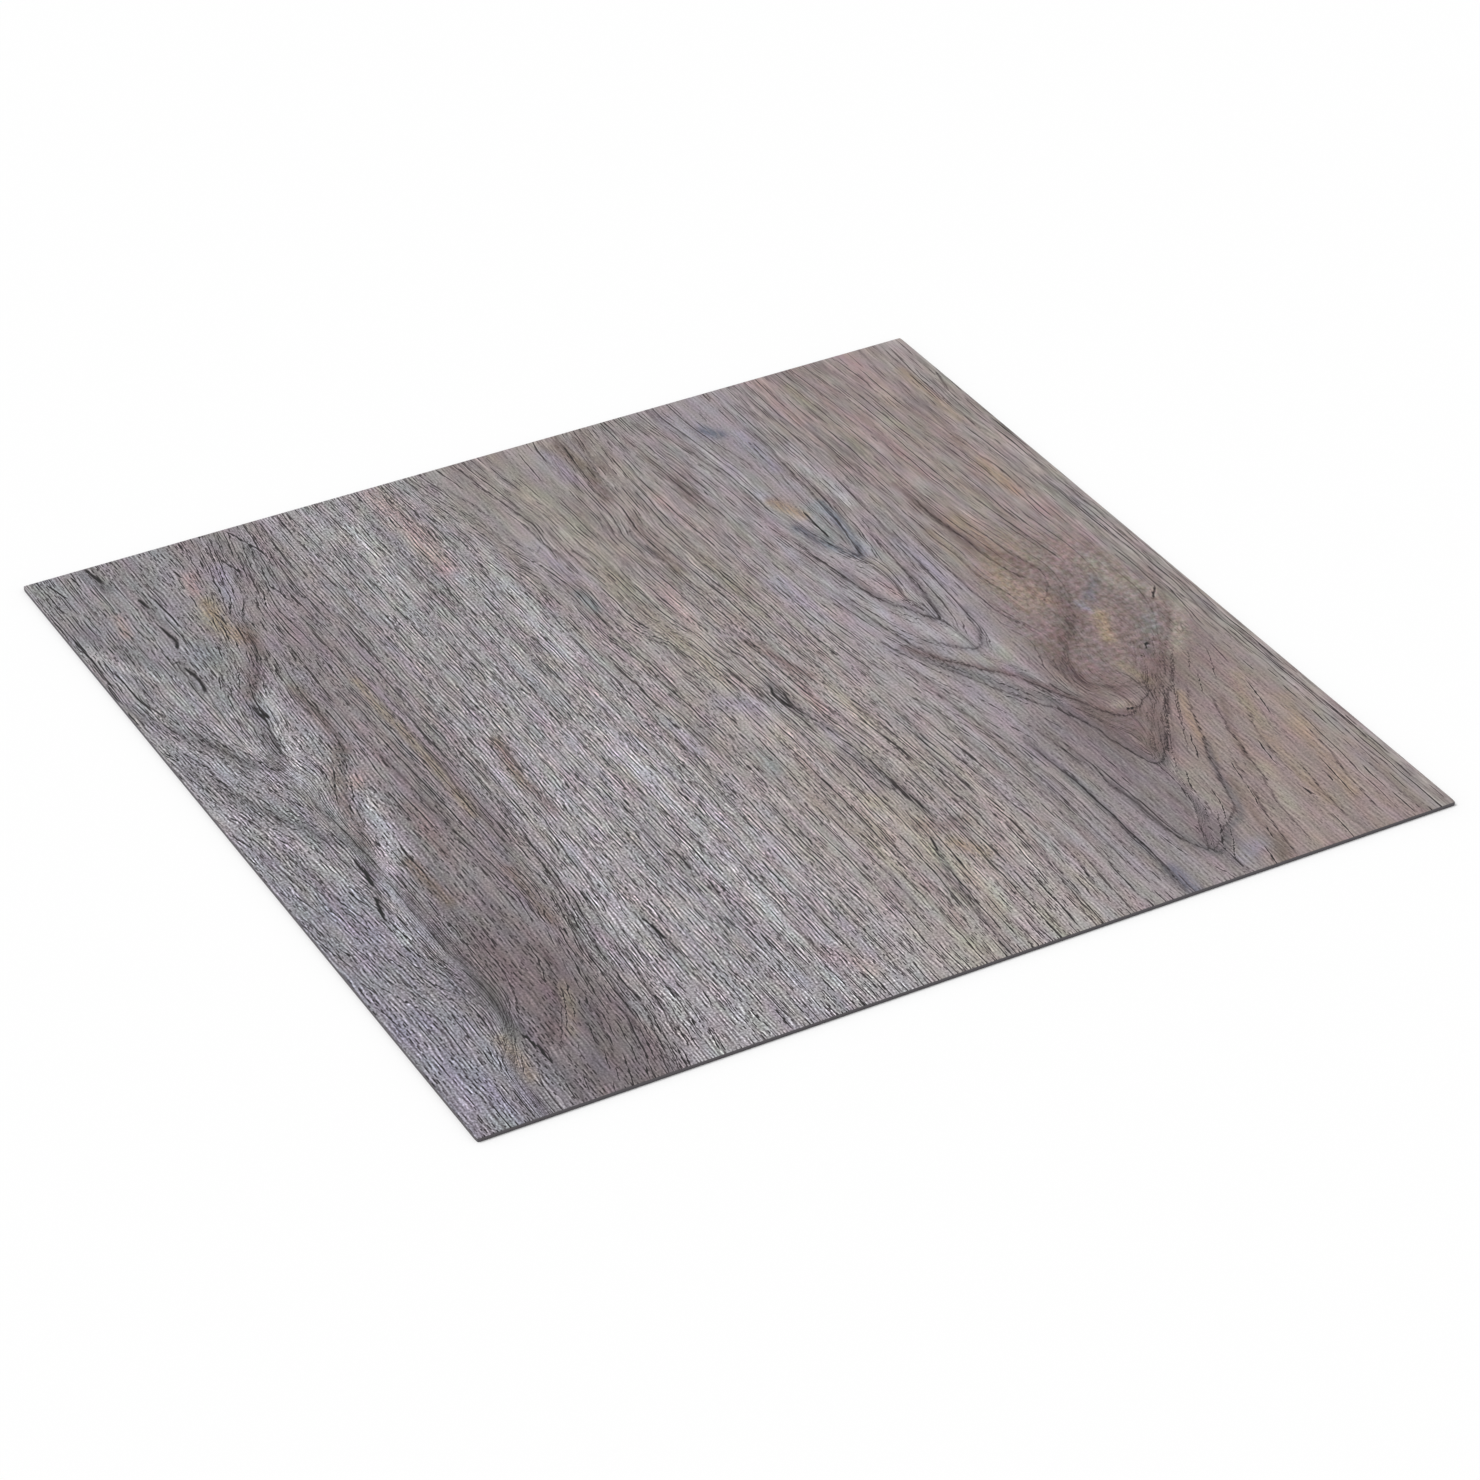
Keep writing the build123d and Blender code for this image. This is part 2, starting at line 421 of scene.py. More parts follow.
LEFT_BANDS = (
    Band(((-150, 108), (-143, 96), (-136, 86)), 3, Tint.FROST, 0.7),
    Band(((-147, 122), (-141, 102), (-133, 87)), 3, Tint.COAL, 0.4),
    Band(((-133, 151), (-131, 138)), 2.5, Tint.COAL, 0.6),
    Band(((-112, 150), (-117, 138)), 4, Tint.STONE, 0.6),
    Band(((-125, 126), (-124.5, 112), (-125.5, 100)), 1.6, Tint.COAL, 0.5),
    Band(((-129.5, 90), (-128, 82), (-127.5, 73)), 2.2, Tint.COAL, 0.6),
    Band(((-134, 122), (-136, 112)), 2.2, Tint.ROSE, 0.5),
    Band(((-107, 132), (-109, 124)), 3, Tint.ROSE, 0.6),
    Band(((-108, 116), (-110, 104), (-107, 94)), 4, Tint.OCHRE, 0.85),
    Band(((-97, 132), (-101, 116)), 3.5, Tint.LAVENDER, 0.7),
    Band(((-90, 150), (-86, 130), (-86, 112)), 5, Tint.STONE, 0.6),
    Band(((-103, 99), (-107, 86), (-112, 74), (-118, 64)), 3, Tint.MAROON, 0.45),
    Band(((-121, 96), (-122, 88)), 4, Tint.TEAL, 0.5),
    Band(((-139, 74), (-133, 55), (-128, 38)), 6, Tint.SILVER, 0.55),
    Band(((-151, 74), (-144, 57), (-138, 44), (-132, 34), (-126, 26)), 2.4, Tint.COAL, 0.45),
    Band(((-119.5, 60), (-121.5, 44), (-124.5, 28)), 1.6, Tint.COAL, 0.55),
    Band(((-113, 62), (-117, 46), (-119.5, 32), (-124.5, 16)), 2.8, Tint.FROST, 0.75),
    Band(((-105.5, 62), (-105, 45), (-106, 25)), 2.4, Tint.MAROON, 0.5),
    Band(((-131, 14), (-128, 2)), 6, Tint.STONE, 0.5),
    Band(((-152, 42), (-145, 24), (-139, 10), (-131, -8), (-123, -20)), 2.4, Tint.COAL, 0.45),
    Band(((-121, -20), (-119, -8), (-117, 4), (-113, 16), (-108, 26)), 3, Tint.UMBER, 0.55),
    Band(((-108, 12), (-111, 8)), 3, Tint.ROSE, 0.6),
    Band(((-110, 0), (-113, -16), (-117, -28), (-125, -44), (-131, -66)), 2.6, Tint.FROST, 0.6),
    Band(((-123, -22), (-127, -36), (-131, -54)), 1.8, Tint.COAL, 0.6),
    Band(((-150, 14), (-141, -8), (-134, -26), (-132, -38)), 3, Tint.FROST, 0.5),
    Band(((-114, -34), (-112.5, -56)), 2.8, Tint.UMBER, 0.85),
    Band(((-110, -38), (-110.5, -54)), 1, Tint.COAL, 0.45),
    Band(((-140, -46), (-138, -60)), 6, Tint.LAVENDER, 0.6),
    Band(((-147, -100), (-144, -140)), 8, Tint.LAVENDER, 0.6),
    Band(((-102, -10), (-103, -34)), 4, Tint.MAROON, 0.4),
    Band(((-117, -84), (-113, -104), (-113, -120)), 7, Tint.MAROON, 0.3),
    Band(((-124, -92), (-122.5, -112), (-121, -130), (-121, -150)), 2, Tint.COAL, 0.75),
    Band(((-128, -118), (-128.5, -136)), 2.4, Tint.OCHRE, 0.55),
    Band(((-103, -104), (-106, -114), (-110, -124)), 2, Tint.OCHRE, 0.35),
    Band(((-103, -116), (-107, -131), (-115, -147)), 2.4, Tint.COAL, 0.6),
    Band(((-98, 30), (-98, -20), (-95, -60), (-92, -95)), 1.6, Tint.MAUVE, 0.5),
    Band(((-88, 56), (-87.5, 10), (-89, -22)), 1.8, Tint.OCHRE, 0.55),
    Band(((-92, -50), (-92.5, -78)), 2, Tint.UMBER, 0.7),
    Band(((-84, 20), (-84.5, -40)), 1.4, Tint.MAUVE, 0.5),
    Band(((-92, 100), (-92, 76)), 5, Tint.MAUVE, 0.5),
    Band(((-79.5, -60), (-78, -85), (-79, -110), (-83, -137)), 1.6, Tint.FROST, 0.6),
    Band(((-66.5, 8), (-69.5, -16)), 2, Tint.UMBER, 0.8),
    Band(((-69, -18), (-68.5, -32)), 2, Tint.MAROON, 0.45),
    Band(((-70.5, -86), (-69.5, -104)), 1.2, Tint.COAL, 0.45),
)
MIDDLE_BANDS = (
    Band(((-54, 134), (-55, 90)), 3, Tint.FROST, 0.75),
    Band(((-26, 106), (-26.5, 70), (-28, 38)), 3, Tint.FROST, 0.75),
    Band(((-38, 0), (-37, -60), (-40, -115)), 3, Tint.FROST, 0.65),
    Band(((-62, -40), (-62, -100)), 3, Tint.FROST, 0.35),
    Band(((-29, -50), (-29, -105)), 2.5, Tint.FROST, 0.35),
    Band(((-45, 145), (-46, 80), (-44, 20)), 3, Tint.STONE, 0.4),
    Band(((-51, -15), (-51, -85)), 2.5, Tint.STONE, 0.35),
    Band(((-22, 64), (-21, 10), (-22, -55)), 1.6, Tint.STONE, 0.4),
    Band(((-56, -110), (-55, -148)), 4, Tint.STONE, 0.3),
    Band(((-39, 150), (-37, 118), (-38, 98)), 3.5, Tint.ROSE, 0.6),
    Band(((-13, 112), (-12, 60), (-15, 18)), 1.4, Tint.MAUVE, 0.5),
    Band(((-32, -128), (-30, -140)), 4, Tint.ROSE, 0.4),
    Band(((-10, 66), (-9.5, 56)), 2, Tint.TEAL, 0.8),
    Band(((-8, 96), (-7, 76)), 4, Tint.LAVENDER, 0.55),
    Band(((-1, -8), (9, -14)), 5, Tint.LAVENDER, 0.5),
    Band(((-4, -36), (-4, -44)), 4, Tint.TEAL, 0.5),
    Band(((-20, -8), (-19, -26)), 2.5, Tint.LAVENDER, 0.55),
    Band(((19, 142), (18, 126)), 4, Tint.LAVENDER, 0.5),
    Band(((45, 42), (46, 18)), 4, Tint.LAVENDER, 0.55),
    Band(((3, 125), (4, 60), (5, 5)), 5, Tint.OLIVE, 0.6),
    Band(((33, 72), (33, 30)), 3, Tint.OLIVE, 0.5),
    Band(((3, -30), (4, -70), (2, -100)), 6, Tint.SAND, 0.3),
    Band(((12, -72), (15, -92), (12, -106)), 4, Tint.SAND, 0.6),
    Band(((18, -112), (16, -132)), 4, Tint.SAND, 0.6),
    Band(((2, -130), (0, -150)), 5, Tint.OLIVE, 0.6),
    Band(((30, -15), (31, -62)), 2.4, Tint.SAND, 0.4),
    Band(((24, 146), (26, 128), (23, 110)), 2.6, Tint.UMBER, 0.75),
    Band(((24, 96), (21.5, 80), (22, 62)), 2.2, Tint.UMBER, 0.6),
    Band(((31, 146), (30, 128)), 2.5, Tint.UMBER, 0.5),
    Band(((14, 58), (13, 38)), 2.5, Tint.ROSE, 0.3),
    Band(((20.5, 18), (24, 6), (28, -8)), 1.8, Tint.MAROON, 0.55),
    Band(((22.5, -10), (22, -24)), 2, Tint.ROSE, 0.5),
    Band(((15.5, -5), (16, -25)), 1.8, Tint.COAL, 0.65),
    Band(((17.5, -30), (19.5, -37)), 1.6, Tint.COAL, 0.55),
    Band(((17.5, -45), (19, -59)), 2.2, Tint.COAL, 0.6),
    Band(((20, -62), (22.5, -84)), 1.6, Tint.COAL, 0.55),
    Band(((17, -88), (22, -92), (28, -92)), 2.8, Tint.MAROON, 0.4),
    Band(((21, -100), (26, -108)), 3, Tint.OCHRE, 0.75),
    Band(((17, -97), (13, -108), (10, -128), (8, -151)), 1.1, Tint.COAL, 0.45),
    Band(((38, -25), (40, -52)), 1.6, Tint.STONE, 0.6),
    Band(((47, 112), (46, 96)), 2.5, Tint.MAROON, 0.4),
    Band(((37, 102), (37, 84)), 3, Tint.ROSE, 0.3),
)
RIGHT_BANDS = (
    Band(((64, 142), (67, 130)), 5, Tint.LAVENDER, 0.6),
    Band(((68.5, 132), (72, 127)), 2.3, Tint.SLATE, 0.95),
    Band(((64, 122), (66, 100), (66, 88)), 2.2, Tint.FROST, 0.55),
    Band(((85, 110), (86, 88), (87, 70)), 2.6, Tint.FROST, 0.6),
    Band(((77, 124), (76, 100)), 3, Tint.LAVENDER, 0.6),
    Band(((65, 66), (69, 52), (74, 43), (77, 56), (79, 76)), 1.8, Tint.SLATE, 0.75),
    Band(((74, 74), (71, 56)), 3.5, Tint.TEAL, 0.6),
    Band(((66, 83), (70, 72)), 2.6, Tint.GOLD, 0.8),
    Band(((76, 38), (77, 30)), 3, Tint.OLIVE, 0.5),
    Band(((63.5, 38), (67, 20), (72, 9), (76, 2), (79, 12), (82, 30)), 1.6, Tint.COAL, 0.45),
    Band(((67, -7), (73, -15), (78, -19), (83, -12), (86, 2)), 1.4, Tint.COAL, 0.45),
    Band(((58, 34), (62, 16), (67, 4), (73, -8)), 2.6, Tint.FROST, 0.5),
    Band(((68, 30), (72, 18)), 3, Tint.ROSE, 0.35),
    Band(((72, -21), (80, -28), (88, -20)), 2.6, Tint.OLIVE, 0.5),
    Band(((88, 45), (88, 10)), 2.5, Tint.LAVENDER, 0.5),
    Band(((59, -8), (68, -22), (78, -34), (85, -48), (93, -66), (99, -69)), 1.5, Tint.MAROON, 0.6),
    Band(((57, -8), (71, -34), (83, -56), (87, -78), (92, -96), (99, -84)), 1.6, Tint.COAL, 0.55),
    Band(((86, -62), (90, -78), (93, -89)), 4, Tint.MAROON, 0.5),
    Band(((95, -88), (103, -74), (112, -62), (122, -50)), 3.4, Tint.MAROON, 0.5),
    Band(((95, -26), (94, -44), (98, -56)), 4, Tint.UMBER, 0.55),
    Band(((95, -46), (101, -27), (111, -19)), 3.4, Tint.MAROON, 0.45),
    Band(((97, -54), (104, -58), (113, -56)), 2, Tint.MAROON, 0.4),
    Band(((109, -46), (112, -58)), 1.8, Tint.OCHRE, 0.6),
    Band(((96, -64), (101, -65)), 2.2, Tint.SAND, 0.6),
    Band(((110, 46), (109, 28), (104, 10), (108, -6)), 4.5, Tint.GOLD, 0.6),
    Band(((117, 32), (116, 14)), 4, Tint.OCHRE, 0.5),
    Band(((104, 74), (105, 50), (107, 30), (112, 20), (119, 4)), 1.4, Tint.MAROON, 0.65),
    Band(((99, 44), (99, 12), (101, -8)), 2, Tint.OCHRE, 0.5),
    Band(((116.5, -13), (117.5, -18)), 1.6, Tint.LAVENDER, 0.9),
    Band(((119, -20), (114, -33)), 2.4, Tint.GOLD, 0.9),
    Band(((128, -3), (121, -11)), 2.2, Tint.SLATE, 0.55),
    Band(((122.5, -40), (119.5, -46)), 1.6, Tint.COAL, 0.6),
    Band(((133, 4), (136, -16)), 6, Tint.OLIVE, 0.6),
    Band(((126, -36), (132, -28)), 3, Tint.TEAL, 0.4),
    Band(((127, -48), (135, -38), (143, -28)), 2.6, Tint.SAND, 0.6),
    Band(((122, 8), (133, 18), (142, 28)), 3, Tint.ROSE, 0.3),
    Band(((99, 151), (98, 122)), 3, Tint.ROSE, 0.5),
    Band(((112, 114), (116, 92), (113, 76)), 4, Tint.ROSE, 0.4),
    Band(((132, 151), (131, 120)), 4, Tint.ROSE, 0.5),
    Band(((132, 94), (136, 76), (137, 30)), 3.4, Tint.ROSE, 0.35),
    Band(((142, 134), (142, 98)), 2, Tint.OCHRE, 0.65),
    Band(((134, 72), (134, 52)), 2.8, Tint.GOLD, 0.65),
    Band(((105, 142), (106, 115), (108, 94)), 2.5, Tint.OLIVE, 0.6),
    Band(((122, 114), (124, 84), (121, 50)), 2.6, Tint.OLIVE, 0.5),
    Band(((147, 54), (147, 28)), 2.6, Tint.STONE, 0.55),
    Band(((136, -68), (129, -84), (124, -110), (121, -134)), 2.6, Tint.OCHRE, 0.5),
    Band(((141, -84), (135, -108), (131, -134)), 3, Tint.GOLD, 0.5),
    Band(((116, -68), (110, -84), (106, -102)), 1.6, Tint.GOLD, 0.7),
    Band(((125, -76), (118, -92), (113, -110)), 1.3, Tint.UMBER, 0.6),
    Band(((116, -112), (111, -132), (109, -150)), 2.4, Tint.SAND, 0.55),
    Band(((104, -112), (100, -132), (97, -151)), 1.5, Tint.UMBER, 0.65),
    Band(((78, -66), (82, -95), (85, -120), (84, -133)), 8, Tint.MAUVE, 0.95),
    Band(((75, -96), (75, -118), (79, -136), (83, -140), (90, -132), (98, -126), (103, -107), (109, -92)),
         1.2, Tint.COAL, 0.65),
    Band(((95, -104), (94, -120)), 3, Tint.OLIVE, 0.5),
    Band(((65, -66), (66, -100), (65, -130), (65, -152)), 1.3, Tint.COAL, 0.65),
    Band(((86, -146), (93, -142)), 3.4, Tint.LAVENDER, 0.6),
    Band(((96, -151), (100, -142)), 2.4, Tint.UMBER, 0.7),
    Band(((66, -140), (66, -152)), 2.4, Tint.SLATE, 0.7),
)
BANDS = LEFT_BANDS + MIDDLE_BANDS + RIGHT_BANDS


def display(colour: Colour) -> np.ndarray:
    """Turn an 8-bit colour into display values from 0 to 1."""
    return np.array(colour, float) / WHITE


def smooth_step(share: np.ndarray) -> np.ndarray:
    """Ease from 0 to 1 as share goes from 0 to 1."""
    held = np.clip(share, 0.0, 1.0)
    return held * held * (3.0 - 2.0 * held)


def to_linear(values: np.ndarray) -> np.ndarray:
    """Turn display values into the linear light that shaders take."""
    return np.where(values <= 0.04045, values / 12.92, ((values + 0.055) / 1.055) ** 2.4)


class LineField:
    """The nearest grain line of every plan point: how far off it is, how wide and how dark."""

    FAR = 9.0               # offset of a point that has no line near, mm
    NARROW = 0.3            # half width that such a point is given, mm
    MARGIN = 4.0            # a line marks points as its own up to this distance, mm
    HALO_REACH = 3.0        # distance at which the soft shade of a line has faded to a third, mm
    HALO_ROOM = 9.0         # margin round a line within which it is worked out, mm
    TAPER = 0.12            # share of a line's length over which each end fades
    TIP = 0.4               # share of a line's width that is left at its ends

    def __init__(self, points: np.ndarray, lines: tuple[GrainLine, ...]) -> None:
        """Draw lines into the field.

        Args:
            points: plan points in mm, one row each.
            lines: the lines to draw, in order.
        """
        count = len(points)
        self.points = points
        self.offset = np.full(count, self.FAR)
        self.reach = np.full(count, self.NARROW)
        self.depth = np.zeros(count)
        self.shade = np.zeros(count)
        for line in lines:
            self._lay(line)

    def _lay(self, line: GrainLine) -> None:
        """Draw one line into the field.

        Args:
            line: the line to draw.
        """
        near, distance, along, _ = line.nearest(self.points, self.HALO_ROOM)
        taper = smooth_step(along / self.TAPER) * smooth_step((1.0 - along) / self.TAPER)
        self.shade[near] -= line.halo * taper * np.exp(-((distance / self.HALO_REACH) ** 2))
        own = np.abs(distance) < np.minimum(self.MARGIN, np.abs(self.offset[near]))
        held = near[own]
        self.offset[held] = distance[own]
        self.reach[held] = (line.width * 0.5 * (self.TIP + (1.0 - self.TIP) * taper))[own]
        self.depth[held] = (line.depth * taper)[own]

    def pressed(self, press: float, reach: float, limit: float) -> np.ndarray:
        """Depth that the lines are pressed in at every point, mm."""
        return press * np.exp(-((self.offset / reach) ** 2)) * np.minimum(self.depth, limit)

    def packed(self) -> np.ndarray:
        """Offset, reach and depth of every point, one row each."""
        return np.stack([self.offset, self.reach, self.depth], axis=1)


class GrainFlow:
    """Course of the wood's fibres over the plan, bent along the drawn ring lines."""

    REACH = 160.0           # half size of the plan that the course covers, mm
    COARSE = 2.0            # spacing of the grid that the lean is worked out on, mm
    FINE = 0.5              # spacing across the grain that the course is followed on, mm
    STEP = 1.0              # step along the grain, mm
    LEVEL = 60.0            # the fibres are counted evenly across the plan at this Y, mm
    PULL = 8.0              # a line turns the fibres within this distance, mm
    ROOM = 24.0             # margin round a line within which its pull is worked out, mm
    STRAIGHT = 0.08         # weight of the straight grain beside that of the lines
    STEEPEST = 0.6          # largest lean, as X over Y
    LEAST_RISE = 1e-6       # rise that a level direction is given
    SPARSEST = 0.05         # fewest fibres to the mm
    LAST_CELL = 1.001       # cells by which a place stays short of the grid's end

    def __init__(self, lines: tuple[GrainLine, ...]) -> None:
        """Work out the course from the lines.

        Args:
            lines: the ring lines that the fibres follow.
        """
        coarse = np.arange(-self.REACH, self.REACH + self.COARSE, self.COARSE)
        grid_x, grid_y = np.meshgrid(coarse, coarse)
        points = np.stack([grid_x.ravel(), grid_y.ravel()], axis=1)
        lean_sum, weight_sum = np.zeros(len(points)), np.full(len(points), self.STRAIGHT)
        for line in lines:
            near, distance, _, direction = line.nearest(points, self.ROOM)
            is_level = np.abs(direction[:, 1]) < self.LEAST_RISE
            rise = np.where(is_level, self.LEAST_RISE, direction[:, 1])
            lean = np.clip(direction[:, 0] / rise, -self.STEEPEST, self.STEEPEST)
            weight = np.exp(-((distance / self.PULL) ** 2))
            lean_sum[near] += weight * lean
            weight_sum[near] += weight
        lean = (lean_sum / weight_sum).reshape(grid_x.shape)
        self.across = np.arange(-self.REACH, self.REACH + self.FINE, self.FINE)
        self.along = np.arange(-self.REACH, self.REACH + self.STEP, self.STEP)
        self.lean = self._resampled(lean, coarse)
        self.fibre = np.empty_like(self.lean)
        level = int(round((self.LEVEL + self.REACH) / self.STEP))
        self.fibre[level] = self.across
        for row in range(level + 1, len(self.along)):
            self._follow(row, row - 1)
        for row in range(level - 1, -1, -1):
            self._follow(row, row + 1)
        self.spread = np.maximum(np.gradient(self.fibre, self.FINE, axis=1), self.SPARSEST)

    def _follow(self, row: int, known: int) -> None:
        """Number the fibres of a row from its neighbour, going on evenly past the ends.

        Args:
            row: the row to number.
            known: the neighbouring row that is numbered already.
        """
        source = self.across + (known - row) * self.lean[known] * self.STEP
        held = np.clip(source, self.across[0], self.across[-1])
        self.fibre[row] = np.interp(held, self.across, self.fibre[known]) + source - held

    def _resampled(self, values: np.ndarray, coarse: np.ndarray) -> np.ndarray:
        """Carry a coarse grid over to the fine one."""
        rows = np.stack([np.interp(self.across, coarse, row) for row in values])
        return np.stack([np.interp(self.along, coarse, column) for column in rows.T], axis=1)

    def at(self, points: np.ndarray) -> np.ndarray:
        """Read the course at some points.

        Args:
            points: plan points in mm.

        Returns:
            Fibre number in mm, fibres to the mm and lean, one row for each point.
        """
        column = np.clip((points[:, 0] + self.REACH) / self.FINE, 0, len(self.across) - self.LAST_CELL)
        row = np.clip((points[:, 1] + self.REACH) / self.STEP, 0, len(self.along) - self.LAST_CELL)
        i, j = column.astype(int), row.astype(int)
        s, t = column - i, row - j
        fields = []
        for grid in (self.fibre, self.spread, self.lean):
            low = grid[j, i] * (1 - s) + grid[j, i + 1] * s
            high = grid[j + 1, i] * (1 - s) + grid[j + 1, i + 1] * s
            fields.append(low * (1 - t) + high * t)
        return np.stack(fields, axis=1)


@dataclass
class WoodFigure:
    """The printed wood figure, worked out at the plan points of the wear face.

    Attributes:
        zones: stretches of the print with their own ground.
        bands: soft bands of colour.
        rings: dark lines of the growth rings.
        checks: black splits.
    """

    FADED = 60.0            # square distance, in reaches, past which a zone weighs the same
    LEAST_WEIGHT = 1e-9     # keeps the blend from dividing by nothing
    BAND_ROOM = 2.5         # a band is worked out within this many of its reaches

    zones: tuple[GrainZone, ...] = ZONES
    bands: tuple[Band, ...] = BANDS
    rings: tuple[GrainLine, ...] = RING_LINES
    checks: tuple[GrainLine, ...] = CHECKS

    def zone_mix(self, points: np.ndarray) -> tuple[np.ndarray, np.ndarray]:
        """Blend the zones at every point.

        Args:
            points: plan points in mm.

        Returns:
            The ground colour as display values, and the pore, crack and streak strengths.
        """
        colour = np.zeros((len(points), 3))
        texture = np.zeros((len(points), 3))
        total = np.full(len(points), self.LEAST_WEIGHT)
        for zone in self.zones:
            off = (points - np.array(zone.centre)) / np.array(zone.reach)
            weight = np.exp(-np.minimum((off**2).sum(axis=1), self.FADED))
            colour += weight[:, None] * display(zone.colour)
            texture += weight[:, None] * np.array([zone.pores, zone.cracks, zone.streaks])
            total += weight
        return colour / total[:, None], texture / total[:, None]

    def banded(self, points: np.ndarray, colour: np.ndarray) -> np.ndarray:
        """Lay the bands over a ground colour.

        Args:
            points: plan points in mm.
            colour: ground colour as display values.

        Returns:
            The banded colour as display values.
        """
        colour = colour.copy()
        for band in self.bands:
            near, distance, _, _ = band.nearest(points, self.BAND_ROOM * band.reach)
            share = band.strength * np.exp(-((distance / band.reach) ** 2))
            colour[near] += share[:, None] * (display(band.tint.value) - colour[near])
        return colour


class Easing(Enum):
    """How a value goes from one range to another, by the name that the node has for it."""

    SMOOTH = "SMOOTHSTEP"
    EVEN = "LINEAR"


class NoiseOutput(Enum):
    """What a noise gives, by the name that the node has for it."""

    VALUE = "Fac"
    TRIPLE = "Color"


class NodeSketch:
    """Short calls that add shader nodes to one tree and join them."""

    def __init__(self, tree: bpy.types.NodeTree) -> None:
        """Keep the tree that the nodes go into."""
        self.tree = tree

    def add(self, kind: str, **settings: object) -> bpy.types.Node:
        """Add a node.

        Args:
            kind: type name of the node.
            settings: the node's settings by name.

        Returns:
            The new node.
        """
        node = self.tree.nodes.new(kind)
        for name, value in settings.items():
            setattr(node, name, value)
        return node

    def feed(self, socket: Socket, value: Given) -> None:
        """Link a socket to another one, or set it to a plain value.

        Args:
            socket: the input to feed.
            value: the output or the plain value that it takes.
        """
        if isinstance(value, Socket):
            self.tree.links.new(value, socket)
        else:
            socket.default_value = value

    def fed(self, node: bpy.types.Node, values: tuple[Given, ...]) -> Socket:
        """Feed a node's inputs in order.

        Args:
            node: the node to feed.
            values: outputs or plain values for its inputs.

        Returns:
            The node's first output.
        """
        for socket, value in zip(node.inputs, values):
            self.feed(socket, value)
        return node.outputs[0]

    def math(self, operation: str, *values: Given) -> Socket:
        """Work out one sum from sockets or numbers."""
        return self.fed(self.add("ShaderNodeMath", operation=operation), values)

    def vector(self, operation: str, *values: Given) -> Socket:
        """Work out one vector sum from sockets or triples."""
        return self.fed(self.add("ShaderNodeVectorMath", operation=operation), values)

    def total(self, *values: Given) -> Socket:
        """Add up several sockets or numbers."""
        return reduce(lambda one, other: self.math("ADD", one, other), values)

    def times(self, *values: Given) -> Socket:
        """Multiply several sockets or numbers."""
        return reduce(lambda one, other: self.math("MULTIPLY", one, other), values)

    def scaled(self, value: Given, factor: Given, base: Given) -> Socket:
        """Multiply a value by a factor and add it to a base."""
        return self.math("MULTIPLY_ADD", value, factor, base)

    def swing(self, value: Given) -> Socket:
        """Shift a value between 0 and 1 to lie evenly about 0."""
        return self.math("SUBTRACT", value, 0.5)

    def gap(self, one: Given, other: Given) -> Socket:
        """Distance between two values."""
        return self.math("ABSOLUTE", self.math("SUBTRACT", one, other))

    def dimmed(self, colour: Given, factor: Socket) -> Socket:
        """Multiply a colour by one number.

        Args:
            colour: the colour, as a socket or a triple.
            factor: the number.

        Returns:
            The changed colour.
        """
        node = self.add("ShaderNodeVectorMath", operation="SCALE")
        self.feed(node.inputs["Scale"], factor)
        return self.fed(node, (colour,))

    def combine(self, x: Given, y: Given, z: Given = 0.0) -> Socket:
        """Join three values into a vector."""
        return self.fed(self.add("ShaderNodeCombineXYZ"), (x, y, z))

    def separate(self, vector: Socket) -> tuple[Socket, ...]:
        """Split a vector into its three values.

        Args:
            vector: the vector to split.

        Returns:
            Its X, Y and Z.
        """
        node = self.add("ShaderNodeSeparateXYZ")
        self.feed(node.inputs[0], vector)
        return tuple(node.outputs)

    def object_place(self) -> tuple[Socket, ...]:
        """Place on the piece in its own coordinates, m."""
        return self.separate(self.add("ShaderNodeTexCoord").outputs["Object"])

    def attribute(self, name: str, output: str) -> Socket:
        """Read one of the piece's own attributes."""
        node = self.add("ShaderNodeAttribute", attribute_name=name, attribute_type="GEOMETRY")
        return node.outputs[output]

    def chance(self, first: Given, second: Given) -> tuple[Socket, ...]:
        """Draw three random numbers that hold for one pair of values.

        Args:
            first: one value of the pair.
            second: the other value.

        Returns:
            Three numbers from 0 to 1.
        """
        node = self.add("ShaderNodeTexWhiteNoise", noise_dimensions="2D")
        self.feed(node.inputs["Vector"], self.combine(first, second))
        return self.separate(node.outputs["Color"])

    def ease(self, value: Given, span: Span, onto: Span = (0.0, 1.0),
             easing: Easing = Easing.SMOOTH) -> Socket:
        """Carry a value from one range to another."""
        node = self.add("ShaderNodeMapRange", interpolation_type=easing.value)
        return self.fed(node, (value, *span, *onto))

    def noise(self, vector: Socket, detail: float = 0.0, roughness: float = 0.5,
              output: NoiseOutput = NoiseOutput.VALUE, dimensions: int = 2) -> Socket:
        """Add a noise over a vector that already has its scale.

        Args:
            vector: place in the noise.
            detail: finer layers added to it.
            roughness: weight of each finer layer.
            output: one value or three.
            dimensions: 2 or 3, the values of the place that count.

        Returns:
            The noise.
        """
        node = self.add("ShaderNodeTexNoise", noise_dimensions=f"{dimensions}D")
        settings = {"Vector": vector, "Scale": 1.0, "Detail": detail, "Roughness": roughness}
        for name, value in settings.items():
            self.feed(node.inputs[name], value)
        return node.outputs[output.value]


@dataclass(frozen=True)
class RowStyle:
    """Size of one kind of grain row.

    Attributes:
        pitch: distance between rows, mm.
        length: usual length of a dash, mm.
        width: half width of a dash, mm.
        seed: number that sets this kind apart from the others.
        stops: darkness of a dash.
    """

    pitch: float
    length: float
    width: float
    seed: float
    stops: float


